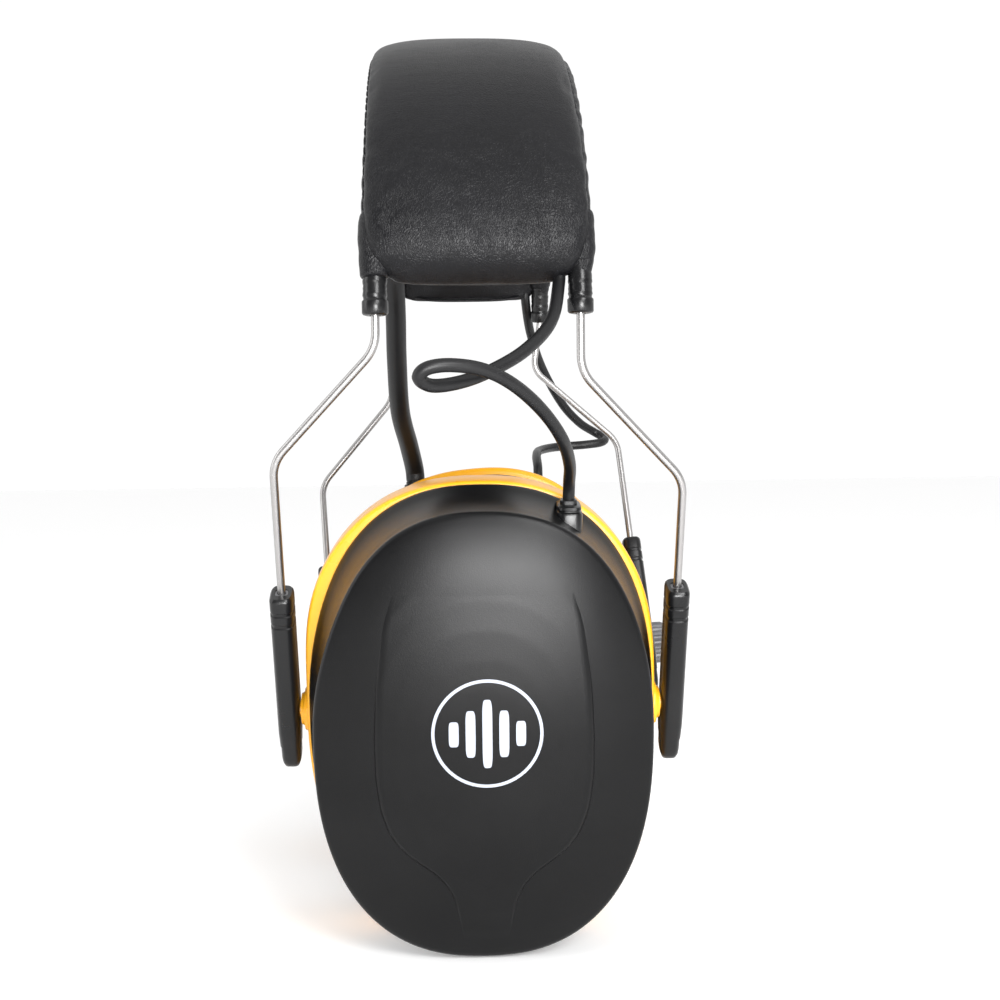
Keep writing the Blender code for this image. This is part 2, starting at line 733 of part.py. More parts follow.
def make_antenna(cup, materials):
    """A rubber socket in the shell's rim and the flexible whip that stands on it."""
    rim_block(
        "antenna_socket", RIGHT, cup, SOCKET_X, SOCKET_TOP, SOCKET_SIZE, materials["gloss_black"]
    )
    points = smooth_route([Vector(point) * MM for point in ANTENNA_ROUTE])
    tube("antenna_whip", points, ANTENNA_R, materials["lead_jacket"])


def make_cup(name, side, arm, materials):
    centre = wire_point(side, 0.0, PIVOT)
    tilt = Matrix.Rotation(-side * CUP_TILT, 4, "X")
    cup = make_empty(f"{name}_cup_pivot", Matrix.Translation(centre) @ tilt, arm)
    make_base(name, side, cup, materials)
    make_shell(name, side, cup, materials)
    make_screws(name, side, cup, materials)
    make_cushion(name, side, cup, materials)
    make_sound_parts(name, side, cup, materials)
    return cup


def make_lead(name, materials):
    """The lead that loops freely from the pad to the cup."""
    points = smooth_route([Vector(point) * MM for point in LEAD_ROUTES[name]])
    tube(f"{name}_lead", points, LEAD_R, materials["lead_jacket"])


def main():
    clear_scene()
    materials = make_materials()
    make_headband(materials)
    for name, side in SIDES.items():
        arm = make_empty(f"{name}_arm", arm_matrix(side))
        for end_name, end in ENDS.items():
            make_arm_wire(name, side, end_name, end, materials)
            make_slider(name, side, end_name, end, arm, materials)
        cup = make_cup(name, side, arm, materials)
        rim_block(
            f"{name}_lead_relief", side, cup, RELIEF_X, RELIEF_TOP, RELIEF_SIZE, materials["gloss_black"]
        )
        if side == LEFT:
            make_left_electronics(side, cup, materials)
        else:
            make_right_electronics(side, cup, materials)
            make_antenna(cup, materials)
        make_lead(name, materials)


main()
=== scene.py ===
"""Earmuff hearing protector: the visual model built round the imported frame.

Every piece is modelled in millimetres in a flat frame of its own and then placed in metres.
Y runs from the left cup to the right cup, X to the rear, and the origin is under the crown.
"""

from __future__ import annotations

import json
import logging
import math
from collections.abc import Callable, Sequence
from dataclasses import dataclass
from enum import Enum

import bpy
from bpy.types import Material, Mesh, Node, NodeSocket, NodeTree, Object
from mathutils import Matrix, Vector
from mathutils.bvhtree import BVHTree

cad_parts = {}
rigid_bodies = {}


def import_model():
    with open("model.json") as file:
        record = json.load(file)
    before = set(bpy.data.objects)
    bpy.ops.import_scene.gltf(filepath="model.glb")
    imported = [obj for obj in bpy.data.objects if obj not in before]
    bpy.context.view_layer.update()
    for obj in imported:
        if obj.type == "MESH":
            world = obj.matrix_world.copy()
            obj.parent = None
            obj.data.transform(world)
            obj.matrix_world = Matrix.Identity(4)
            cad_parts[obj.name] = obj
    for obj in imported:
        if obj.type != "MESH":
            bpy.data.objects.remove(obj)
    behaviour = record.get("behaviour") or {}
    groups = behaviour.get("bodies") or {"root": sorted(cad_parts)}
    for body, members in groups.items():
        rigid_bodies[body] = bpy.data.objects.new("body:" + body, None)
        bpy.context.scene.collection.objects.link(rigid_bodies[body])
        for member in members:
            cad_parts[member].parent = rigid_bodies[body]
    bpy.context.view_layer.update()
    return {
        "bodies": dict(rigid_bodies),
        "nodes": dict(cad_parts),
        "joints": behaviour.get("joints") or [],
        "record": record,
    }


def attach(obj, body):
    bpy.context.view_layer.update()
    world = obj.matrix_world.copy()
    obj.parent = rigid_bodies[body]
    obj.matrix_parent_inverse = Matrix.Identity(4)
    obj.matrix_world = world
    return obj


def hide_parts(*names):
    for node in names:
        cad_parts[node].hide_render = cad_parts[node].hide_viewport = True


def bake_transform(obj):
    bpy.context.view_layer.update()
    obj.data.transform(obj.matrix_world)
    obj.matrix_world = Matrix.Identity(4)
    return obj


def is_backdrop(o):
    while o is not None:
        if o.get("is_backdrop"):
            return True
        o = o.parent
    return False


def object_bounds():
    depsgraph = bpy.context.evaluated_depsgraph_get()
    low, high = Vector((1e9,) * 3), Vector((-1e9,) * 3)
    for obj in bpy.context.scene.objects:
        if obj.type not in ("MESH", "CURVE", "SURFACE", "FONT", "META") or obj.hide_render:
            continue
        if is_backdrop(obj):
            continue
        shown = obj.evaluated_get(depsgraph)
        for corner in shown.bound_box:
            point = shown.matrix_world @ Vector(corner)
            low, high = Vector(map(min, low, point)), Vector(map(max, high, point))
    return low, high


LOG = logging.getLogger("earmuff")
MM = 0.001
SPAN_STEPS = 8
Outline = Callable[[float], tuple[float, float]]


class Side(Enum):
    """The two cups; the value is the sign of Y."""

    LEFT = -1
    RIGHT = 1

    @property
    def word(self) -> str:
        """The side's name as the frame spells it."""
        return self.name.lower()


class Limb(Enum):
    """The front and rear wires; the value is the sign of X."""

    FRONT = -1
    REAR = 1

    @property
    def word(self) -> str:
        """The limb's name as the frame spells it."""
        return self.name.lower()


class Cap(Enum):
    """How a loft's open end is finished."""

    FLAT = "flat"
    POINT = "point"
    BRIDGE = "bridge"


# --- bench tools ------------------------------------------------------------------------------


def deselect() -> None:
    """Leave object mode's selection empty."""
    if bpy.context.object and bpy.context.object.mode != "OBJECT":
        bpy.ops.object.mode_set(mode="OBJECT")
    bpy.ops.object.select_all(action="DESELECT")


def pick(piece: Object) -> None:
    """Select one object alone and make it active.

    Args:
        piece: the object to work on.
    """
    deselect()
    piece.select_set(True)
    bpy.context.view_layer.objects.active = piece


def superoval(power: float) -> Outline:
    """An outline between an ellipse (2) and a rectangle (large powers).

    Args:
        power: the exponent of the oval.

    Returns:
        The point of the unit outline at a turn.
    """

    def outline(turn: float) -> tuple[float, float]:
        """The outline's point at a turn, in radians."""
        c, s = math.cos(turn), math.sin(turn)
        share = 2.0 / power
        return math.copysign(abs(c) ** share, c), math.copysign(abs(s) ** share, s)

    return outline


def fluted(flutes: int, depth: float) -> Outline:
    """A round outline with grip flutes.

    Args:
        flutes: how many.
        depth: their depth as a share of the radius.

    Returns:
        The point of the unit outline at a turn.
    """

    def outline(turn: float) -> tuple[float, float]:
        """The outline's point at a turn, in radians."""
        radius = 1.0 - depth * (0.5 - 0.5 * math.cos(flutes * turn)) ** 2
        return radius * math.cos(turn), radius * math.sin(turn)

    return outline


ROUND = superoval(2.0)


@dataclass(frozen=True)
class Ring:
    """One section of a loft: half sizes, depth along the loft and its centre."""

    half_x: float
    half_y: float
    depth: float
    x: float = 0.0
    y: float = 0.0

    @property
    def centre(self) -> Vector:
        """The middle of the section."""
        return Vector((self.x, self.y, self.depth))


def lathe_rings(profile: Sequence[tuple[float, float]]) -> list[Ring]:
    """Round sections from (radius, depth) pairs.

    Args:
        profile: the turned outline.

    Returns:
        The sections in order.
    """
    return [Ring(max(radius, 1e-3), max(radius, 1e-3), depth) for radius, depth in profile]


def sweep(rings: Sequence[Ring], count: int, outline: Outline) -> Object:
    """Extrude a ring through sections, resizing it at each, and stay in edit mode.

    Args:
        rings: the sections in order.
        count: vertices in each section.
        outline: the section's unit outline.

    Returns:
        The open mesh, with its last section selected.
    """
    deselect()
    bpy.ops.mesh.primitive_circle_add(vertices=count, radius=1.0, fill_type="NOTHING")
    piece = bpy.context.object
    for i, vertex in enumerate(piece.data.vertices):
        vertex.co.xy = outline(2.0 * math.pi * i / count)
    bpy.ops.object.mode_set(mode="EDIT")
    bpy.ops.mesh.select_all(action="SELECT")
    first = rings[0]
    bpy.ops.transform.resize(value=(first.half_x, first.half_y, 1.0), center_override=(0, 0, 0))
    bpy.ops.transform.translate(value=first.centre)
    for before, ring in zip(rings, rings[1:]):
        bpy.ops.mesh.extrude_edges_move(
            TRANSFORM_OT_translate={"value": ring.centre - before.centre}
        )
        bpy.ops.transform.resize(
            value=(ring.half_x / before.half_x, ring.half_y / before.half_y, 1.0),
            center_override=ring.centre,
        )
    return piece


def loft(
    name: str,
    rings: Sequence[Ring],
    count: int = 64,
    outline: Outline = ROUND,
    start: Cap = Cap.FLAT,
    end: Cap = Cap.FLAT,
) -> Object:
    """A sweep with its ends closed.

    Args:
        name: the new object's name.
        rings: the sections in order.
        count: vertices in each section.
        outline: the section's unit outline.
        start: how the first section closes.
        end: how the last section closes; BRIDGE joins it to the first.

    Returns:
        The closed mesh object, in millimetres.
    """
    piece = sweep(rings, count, outline)
    piece.name = piece.data.name = name
    if end is Cap.POINT:
        bpy.ops.mesh.merge(type="CENTER")
    elif end is Cap.FLAT:
        bpy.ops.mesh.edge_face_add()
    bpy.ops.mesh.select_all(action="DESELECT")
    bpy.ops.mesh.select_non_manifold()
    if end is Cap.BRIDGE:
        bpy.ops.mesh.bridge_edge_loops()
    elif start is Cap.POINT:
        bpy.ops.mesh.merge(type="CENTER")
    else:
        bpy.ops.mesh.edge_face_add()
    outward()
    return piece


def outward() -> None:
    """Recalculate the normals of the mesh in edit mode and return to object mode."""
    bpy.ops.mesh.select_all(action="SELECT")
    bpy.ops.mesh.normals_make_consistent(inside=False)
    bpy.ops.object.mode_set(mode="OBJECT")


def place(piece: Object, matrix: Matrix = Matrix.Identity(4)) -> Object:
    """Move a mesh modelled in millimetres to its place in metres.

    Args:
        piece: the modelled object.
        matrix: its frame in the object's frame, in metres.

    Returns:
        The same object, at the origin with its place in its mesh.
    """
    piece.data.transform(matrix @ Matrix.Scale(MM, 4))
    if matrix.determinant() < 0.0:
        piece.data.flip_normals()
    piece.matrix_world = Matrix.Identity(4)
    return piece


def apply_modifier(piece: Object, kind: str, **settings: object) -> None:
    """Add a modifier, set it and apply it.

    Args:
        piece: the object to change.
        kind: the modifier's type.
        settings: its properties.
    """
    pick(piece)
    modifier = piece.modifiers.new(kind.title(), kind)
    for key, value in settings.items():
        setattr(modifier, key, value)
    bpy.ops.object.modifier_apply(modifier=modifier.name)


def fuse(piece: Object, other: Object, operation: str = "UNION") -> None:
    """Combine two closed meshes and drop the second.

    Args:
        piece: the mesh that stays.
        other: the mesh that is added or cut away.
        operation: the Boolean's name.
    """
    apply_modifier(piece, "BOOLEAN", object=other, operation=operation, solver="EXACT")
    bpy.data.objects.remove(other)


def join(pieces: Sequence[Object]) -> Object:
    """Make one object of several.

    Args:
        pieces: the objects; the first keeps its name.

    Returns:
        The first object.
    """
    deselect()
    for piece in pieces:
        piece.select_set(True)
    bpy.context.view_layer.objects.active = pieces[0]
    bpy.ops.object.join()
    return pieces[0]


def smooth_route(points: Sequence[Vector], steps: int) -> list[Vector]:
    """A Catmull-Rom curve through points.

    Args:
        points: the points to pass through.
        steps: how many parts each span is cut into.

    Returns:
        The curve's points.
    """
    padded = [points[0] * 2 - points[1], *points, points[-1] * 2 - points[-2]]
    path = []
    for a, b, c, d in zip(padded, padded[1:], padded[2:], padded[3:]):
        for i in range(steps):
            t = i / steps
            linear, square = (c - a) * t, (2 * a - 5 * b + 4 * c - d) * t**2
            cubic = (3 * b - a - 3 * c + d) * t**3
            path.append(0.5 * (2 * b + linear + square + cubic))
    path.append(points[-1])
    return path


def rounded(points: Sequence[Vector], radius: float, steps: int = 8) -> list[Vector]:
    """A polyline with each inner corner replaced by a short curve.

    Args:
        points: the corners.
        radius: how far from each corner its curve starts.
        steps: parts of each curve.

    Returns:
        The softened polyline.
    """
    path = [points[0]]
    for before, corner, after in zip(points, points[1:], points[2:]):
        start = corner + (before - corner).normalized() * radius
        end = corner + (after - corner).normalized() * radius
        for i in range(steps + 1):
            t = i / steps
            path.append(start * (1 - t) ** 2 + corner * 2 * t * (1 - t) + end * t**2)
    path.append(points[-1])
    return path


def tube(name: str, path: Sequence[Vector], radius: float, rounds: int = 3) -> Object:
    """A round bar along a path, as a closed mesh.

    Args:
        name: the new object's name.
        path: the centreline, in the units of radius.
        radius: the bar's radius.
        rounds: the curve's bevel resolution.

    Returns:
        The mesh object.
    """
    curve = bpy.data.curves.new(name, "CURVE")
    curve.dimensions = "3D"
    curve.bevel_depth, curve.bevel_resolution = radius, rounds
    curve.use_fill_caps = True
    spline = curve.splines.new("POLY")
    spline.points.add(len(path) - 1)
    for slot, point in zip(spline.points, path):
        slot.co = (*point, 1.0)
    piece = bpy.data.objects.new(name, curve)
    bpy.context.collection.objects.link(piece)
    pick(piece)
    bpy.ops.object.convert(target="MESH")
    piece = bpy.context.object
    bpy.ops.object.mode_set(mode="EDIT")
    bpy.ops.mesh.select_all(action="SELECT")
    bpy.ops.mesh.remove_doubles(threshold=radius * 0.02)
    outward()
    return piece


def block(name: str, size: Sequence[float], centre: Sequence[float], bevel: float) -> Object:
    """A cube sized, placed and given rounded edges in edit mode.

    Args:
        name: the new object's name.
        size: its sides.
        centre: its middle.
        bevel: the rounding of its edges.

    Returns:
        The mesh object.
    """
    deselect()
    bpy.ops.mesh.primitive_cube_add(size=1.0)
    piece = bpy.context.object
    piece.name = piece.data.name = name
    bpy.ops.object.mode_set(mode="EDIT")
    bpy.ops.mesh.select_all(action="SELECT")
    bpy.ops.transform.resize(value=tuple(size), center_override=(0, 0, 0))
    bpy.ops.transform.translate(value=tuple(centre))
    bpy.ops.mesh.bevel(offset=bevel, segments=4, profile=0.5)
    outward()
    return piece


def clamp(value: float) -> float:
    """A number held between 0 and 1."""
    return max(0.0, min(1.0, value))


def ease(share: float) -> float:
    """A share from 0 to 1 with a soft start and a soft end."""
    return share * share * (3 - 2 * share)


def soften(piece: Object) -> None:
    """One level of subdivision, applied."""
    apply_modifier(piece, "SUBSURF", levels=1, render_levels=1)


def along(path: Sequence[Vector]) -> list[float]:
    """Distance along a path at each of its points."""
    reached = [0.0]
    for a, b in zip(path, path[1:]):
        reached.append(reached[-1] + (b - a).length)
    return reached


SIM_FRAMES = 20


def settle(piece: Object, voxel: float, pressure: float, cap: float) -> None:
    """Puff a closed mesh with cloth pressure, then keep each point near where it began.

    Args:
        piece: the mesh, in metres.
        voxel: the remesh size.
        pressure: the cloth's inner pressure.
        cap: the furthest that a point may move.
    """
    apply_modifier(piece, "REMESH", mode="VOXEL", voxel_size=voxel)
    start = [vertex.co.copy() for vertex in piece.data.vertices]
    modifier = piece.modifiers.new("Cloth", "CLOTH")
    cloth = modifier.settings
    cloth.quality, cloth.mass = 6, 0.05
    cloth.use_pressure, cloth.uniform_pressure_force = True, pressure
    cloth.tension_stiffness = cloth.compression_stiffness = 12.0
    cloth.shear_stiffness, cloth.bending_stiffness = 4.0, 0.6
    cloth.effector_weights.gravity = 0.0
    modifier.collision_settings.use_collision = False
    scene = bpy.context.scene
    modifier.point_cache.frame_start, modifier.point_cache.frame_end = 1, SIM_FRAMES
    for frame in range(1, SIM_FRAMES + 1):
        scene.frame_set(frame)
    pick(piece)
    bpy.ops.object.modifier_apply(modifier=modifier.name)
    for vertex, origin in zip(piece.data.vertices, start):
        move = vertex.co - origin
        if move.length > cap:
            vertex.co = origin + move * (cap / move.length)
    scene.frame_set(1)


# --- finishes ---------------------------------------------------------------------------------


class Graph:
    """A short way to build a node tree."""

    def __init__(self, tree: NodeTree) -> None:
        """Start on an empty tree."""
        self.tree = tree
        tree.nodes.clear()

    def add(
        self, kind: str, inputs: dict[str | int, object] | None = None, **settings: object
    ) -> Node:
        """Add a node.

        Args:
            kind: the node's type name without its ShaderNode prefix, or a full type name.
            inputs: constants or output sockets, by input name or number.
            settings: the node's own properties.

        Returns:
            The node.
        """
        node = self.tree.nodes.new(kind if kind.startswith("Node") else f"ShaderNode{kind}")
        for key, value in settings.items():
            setattr(node, key, value)
        for key, value in (inputs or {}).items():
            if isinstance(value, NodeSocket):
                self.tree.links.new(value, node.inputs[key])
            else:
                node.inputs[key].default_value = value
        return node

    def ramp(self, value: NodeSocket, low: float, high: float) -> NodeSocket:
        """Map a range to 0 to 1.

        Args:
            value: the socket to map.
            low: what becomes 0.
            high: what becomes 1.

        Returns:
            The mapped value.
        """
        names = {"Value": value, "From Min": low, "From Max": high}
        return self.add("MapRange", names).outputs["Result"]

    def blend(self, mask: NodeSocket, a: Sequence[float], b: Sequence[float]) -> NodeSocket:
        """Mix two colours by a mask.

        Args:
            mask: 0 for a, 1 for b.
            a: the first colour.
            b: the second colour.

        Returns:
            The mixed colour.
        """
        node = self.add("Mix", data_type="RGBA")
        self.tree.links.new(mask, node.inputs[0])
        node.inputs[6].default_value, node.inputs[7].default_value = (*a, 1.0), (*b, 1.0)
        return node.outputs[2]

    def maths(self, operation: str, a: object, b: object = 0.0) -> NodeSocket:
        """One Math node.

        Args:
            operation: its operation.
            a: first socket or number.
            b: second socket or number.

        Returns:
            Its value.
        """
        return self.add("Math", {0: a, 1: b}, operation=operation).outputs[0]


class Effect(Enum):
    """The shader node groups that the finishes share."""

    HIDE = "hide_grain"
    MOULD = "moulded_grain"
    WEAR = "edge_wear"
    CELLS = "foam_cells"


def effect_tree(effect: Effect) -> tuple[Graph, Node, Node]:
    """Start a node group with the inputs and outputs that every effect has.

    Args:
        effect: which effect.

    Returns:
        The graph, its input node and its output node.
    """
    tree = bpy.data.node_groups.new(effect.value, "ShaderNodeTree")
    for name in ("Scale", "Depth"):
        tree.interface.new_socket(name, in_out="INPUT", socket_type="NodeSocketFloat")
    tree.interface.new_socket("Mask", in_out="OUTPUT", socket_type="NodeSocketFloat")
    tree.interface.new_socket("Normal", in_out="OUTPUT", socket_type="NodeSocketVector")
    graph = Graph(tree)
    return graph, graph.add("NodeGroupInput"), graph.add("NodeGroupOutput")


def build_effect(effect: Effect) -> NodeTree:
    """Build one effect's node group, or find it.

    Args:
        effect: which effect.

    Returns:
        The group's tree.
    """
    found = bpy.data.node_groups.get(effect.value)
    if found:
        return found
    graph, source, target = effect_tree(effect)
    place_of = graph.add("TexCoord").outputs["Object"]
    scale, depth = source.outputs["Scale"], source.outputs["Depth"]
    if effect is Effect.HIDE:
        warp = graph.add("TexNoise", {"Vector": place_of, "Scale": 160.0, "Detail": 2.0})
        drift = graph.add("VectorMath", {0: warp.outputs["Color"], 1: (0.004, 0.004, 0.004)},
                          operation="MULTIPLY").outputs[0]
        moved = graph.add("VectorMath", {0: place_of, 1: drift}).outputs[0]
        drawn = graph.add("Mapping", {"Vector": moved, "Rotation": (0.35, 0.0, 0.0),
                                      "Scale": (1.0, 0.62, 0.45)}).outputs[0]
        cells = graph.add("TexVoronoi", {"Vector": drawn, "Scale": scale},
                          feature="DISTANCE_TO_EDGE").outputs["Distance"]
        fine = graph.add("TexNoise", {"Vector": drawn, "Scale": scale, "Detail": 4.0})
        pebble = graph.ramp(cells, 0.0, 0.22)
        height = graph.maths("MULTIPLY", fine.outputs["Fac"], 0.55)
        mask = graph.maths("ADD", graph.maths("MULTIPLY", pebble, 0.45), height)
    elif effect is Effect.MOULD:
        mask = graph.add("TexNoise", {"Vector": place_of, "Scale": scale, "Detail": 3.0,
                                      "Roughness": 0.7}).outputs["Fac"]
    elif effect is Effect.CELLS:
        mask = graph.add("TexVoronoi", {"Vector": place_of, "Scale": scale}).outputs["Distance"]
    else:
        rough = graph.add("TexNoise", {"Vector": place_of, "Scale": scale, "Detail": 3.0})
        point = graph.add("NewGeometry").outputs["Pointiness"]
        edge = graph.ramp(point, 0.52, 0.62)
        mask = graph.maths("MULTIPLY", edge, rough.outputs["Fac"])
    bump = graph.add("Bump", {"Height": mask, "Distance": depth, "Strength": 1.0})
    graph.tree.links.new(mask, target.inputs["Mask"])
    graph.tree.links.new(bump.outputs["Normal"], target.inputs["Normal"])
    return graph.tree


@dataclass(frozen=True)
class Finish:
    """One surface of the object, dressed by nodes."""

    name: str
    slot: str
    colour: tuple[float, float, float]
    tone: tuple[float, float, float]
    roughness: float
    effect: Effect = Effect.MOULD
    scale: float = 2500.0
    depth: float = 0.00002
    spread: float = 0.08
    metallic: float = 0.0
    coat: float = 0.0
    sheen: float = 0.0
    specular: float = 0.5
    wear: float = 0.0

    def build(self) -> Material:
        """Build the finish's material, or find it.

        Returns:
            The material.
        """
        found = bpy.data.materials.get(self.name)
        if found:
            return found
        material = bpy.data.materials.new(self.name)
        material.use_nodes = True
        graph = Graph(material.node_tree)
        grain = graph.add("Group", {}, node_tree=build_effect(self.effect))
        grain.inputs["Scale"].default_value = self.scale
        grain.inputs["Depth"].default_value = self.depth
        place_of = graph.add("TexCoord").outputs["Object"]
        mottle = graph.add("TexNoise", {"Vector": place_of, "Scale": 45.0, "Detail": 4.0})
        cloudy = graph.ramp(mottle.outputs["Fac"], 0.3, 0.7)
        tint = graph.maths("ADD", graph.maths("MULTIPLY", cloudy, 0.5),
                           graph.maths("MULTIPLY", grain.outputs["Mask"], 0.5))
        if self.wear:
            worn = graph.add("Group", {}, node_tree=build_effect(Effect.WEAR))
            worn.inputs["Scale"].default_value = 900.0
            rubbed = graph.maths("MULTIPLY", worn.outputs["Mask"], self.wear)
            tint = graph.maths("ADD", tint, rubbed)
        base = graph.blend(tint, self.colour, self.tone)
        shine = graph.maths("MULTIPLY_ADD", cloudy, self.spread)
        shine.node.inputs[2].default_value = self.roughness - self.spread / 2.0
        shader = graph.add("BsdfPrincipled", {
            "Base Color": base, "Roughness": shine, "Metallic": self.metallic,
            "Normal": grain.outputs["Normal"], "Coat Weight": self.coat, "Coat Roughness": 0.12,
            "Sheen Weight": self.sheen, "Specular IOR Level": self.specular,
        })
        out = graph.add("OutputMaterial")
        material.node_tree.links.new(shader.outputs[0], out.inputs["Surface"])
        material.diffuse_color = (*self.colour, 1.0)
        return material


HIDE_BLACK = Finish("black_leatherette", "leatherette", (0.0022, 0.0022, 0.0027),
                    (0.006, 0.006, 0.0072), 0.4, Effect.HIDE, 2500.0, 0.00011, 0.05, specular=0.22)
SHELL_BLACK = Finish("satin_black_plastic", "black_plastic", (0.003, 0.003, 0.0032),
                     (0.0055, 0.0055, 0.0058), 0.3, scale=3600.0, depth=0.00003, spread=0.05,
                     specular=0.17, wear=0.3)
RING_BLACK = Finish("matt_black_plastic", "black_plastic", (0.006, 0.006, 0.0065),
                    (0.011, 0.011, 0.0115), 0.5, scale=3000.0, specular=0.35)
CUP_YELLOW = Finish("amber_plastic", "yellow_plastic", (0.76, 0.335, 0.008), (0.84, 0.39, 0.015),
                    0.3, scale=3200.0, depth=0.000012, wear=0.15)
SLEEVE_BLACK = Finish("gloss_black_rubber", "gloss_black", (0.003, 0.003, 0.0033),
                      (0.008, 0.008, 0.0085), 0.3, scale=1400.0, depth=0.00003, coat=0.08,
                      specular=0.3)
SPRING_STEEL = Finish("bright_spring_steel", "spring_steel", (0.46, 0.45, 0.445),
                      (0.36, 0.35, 0.345), 0.38, scale=900.0, depth=0.0000005, spread=0.05,
                      metallic=1.0)
SCREW_STEEL = Finish("zinc_screw_steel", "screw_steel", (0.5, 0.5, 0.51), (0.4, 0.4, 0.41),
                     0.35, scale=2600.0, metallic=1.0)
JACKET_BLACK = Finish("lead_jacket_black", "lead_jacket", (0.004, 0.004, 0.0045),
                      (0.009, 0.009, 0.0095), 0.4, scale=2200.0, depth=0.00002, specular=0.3)
KNOB_GREY = Finish("dark_grey_plastic", "grey_plastic", (0.07, 0.07, 0.075), (0.1, 0.1, 0.105),
                   0.4, scale=3000.0, wear=0.5)
FOAM_GREY = Finish("open_cell_foam", "foam", (0.01, 0.01, 0.011), (0.03, 0.03, 0.032), 0.95,
                   Effect.CELLS, 1300.0, 0.0004, 0.04, sheen=0.2)
BOARD_GREEN = Finish("board_lacquer", "board_green", (0.01, 0.11, 0.045), (0.02, 0.16, 0.06), 0.35)
CELL_SILVER = Finish("battery_foil", "battery_silver", (0.55, 0.56, 0.58), (0.65, 0.66, 0.68), 0.4,
                     metallic=0.6)
PRINT_GREY = Finish("light_grey_print", "grey_plastic", (0.3, 0.325, 0.38), (0.36, 0.385, 0.44),
                    0.5, scale=4200.0)
THREAD_BLACK = Finish("black_thread", "leatherette", (0.006, 0.006, 0.007),
                      (0.014, 0.014, 0.015), 0.7, scale=5200.0, depth=0.00004, sheen=0.1,
                      specular=0.2)


def dress(
    piece: Object,
    finish: Finish,
    body: str | tuple[str, str, Sequence[float], Sequence[float]],
    stands_for: Sequence[str] = (),
    angle: float = 35.0,
) -> None:
    """Give a finished mesh its material and smooth shading, put it on its body and log its face
    count.

    Args:
        piece: the mesh, in metres.
        finish: its surface.
        body: the body it rides on; when two bodies and two places are given, they are not used and
            the piece is baked in place on no body.
        stands_for: the frame's nodes that it replaces.
        angle: edges sharper than this stay sharp, in degrees.
    """
    pick(piece)
    bpy.ops.object.shade_smooth_by_angle(angle=math.radians(angle))
    piece.data.materials.clear()
    piece.data.materials.append(finish.build())
    if isinstance(body, str):
        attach(piece, body)
    else:
        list(body)
        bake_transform(piece)
    if stands_for:
        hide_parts(*stands_for)
    LOG.info("%s: %d faces", piece.name, len(piece.data.polygons))


# --- the spring's line ------------------------------------------------------------------------


@dataclass(frozen=True)
class SpringLine:
    """The line of the spring wires seen from the front: an arch and two straight legs (mm)."""

    arch: float = 75.0
    depth: float = 71.0
    lean: float = math.radians(22.0)
    hem_x: float = 23.9
    yoke_x: float = 49.0
    shift: float = 5.0
    creep: float = 3.0
    roll: float = math.radians(4.5)
    boot_end: float = 110.4
    upper_bend: float = 126.0
    lower_bend: float = 153.2
    slider_top: float = 184.9
    pivot: float = 218.4
    tilt: float = math.radians(8.0)

    def at(self, side: Side, x: float, distance: float) -> Vector:
        """A point of the wire's line.

        Args:
            side: which leg.
            x: how far back.
            distance: along the wire from the crown.

        Returns:
            The point in millimetres.
        """
        end = self.arch * (math.pi / 2.0 + self.lean)
        if distance <= end:
            angle = distance / self.arch
            offset = self.arch * math.sin(angle)
            return Vector((x, side.value * offset, self.arch * math.cos(angle) - self.depth))
        leg = distance - end
        offset = self.arch * math.cos(self.lean) - leg * math.sin(self.lean)
        height = -self.arch * math.sin(self.lean) - leg * math.cos(self.lean) - self.depth
        return Vector((x, side.value * offset, height))

    def shifted(self, side: Side, distance: float) -> float:
        """A distance moved with the pad towards the left."""
        return distance - side.value * self.shift

    def on_arch(self, x: float, radius: float, distance: float) -> Vector:
        """A point over the arch at a signed distance from the crown, in millimetres."""
        angle = distance / self.arch
        return Vector((x, radius * math.sin(angle), radius * math.cos(angle) - self.depth))

    def arm(self, side: Side) -> Matrix:
        """The arm's frame in millimetres: the right one is rolled about its lower bends."""
        if side is Side.LEFT:
            return Matrix.Identity(4)
        centre = Vector((0.0, 0.0, self.at(side, 0.0, self.lower_bend).z))
        turn = Matrix.Rotation(-self.roll, 4, "Y")
        return Matrix.Translation(centre) @ turn @ Matrix.Translation(-centre)

    def metres(self, matrix: Matrix) -> Matrix:
        """The same frame with its place in metres."""
        result = matrix.copy()
        result.translation = matrix.translation * MM
        return result

    def slider_frame(self, side: Side, limb: Limb) -> Matrix:
        """A slider's frame, in metres: Z up the leg, its origin at the slider's mouth."""
        top = self.at(side, limb.value * self.yoke_x, self.slider_top)
        lean = Matrix.Rotation(-side.value * self.lean, 4, "X")
        return self.metres(self.arm(side) @ Matrix.Translation(top) @ lean)

    def cup_frame(self, side: Side) -> Matrix:
        """A cup's frame, in metres: X back, Y up and Z out, away from the head."""
        centre = self.at(side, 0.0, self.pivot)
        tilt = Matrix.Rotation(-side.value * self.tilt, 4, "X")
        turned = Matrix(((1, 0, 0, 0), (0, 0, side.value, 0), (0, 1, 0, 0), (0, 0, 0, 1)))
        return self.metres(self.arm(side) @ Matrix.Translation(centre) @ tilt @ turned)


LINE = SpringLine()


# --- leads ------------------------------------------------------------------------------------


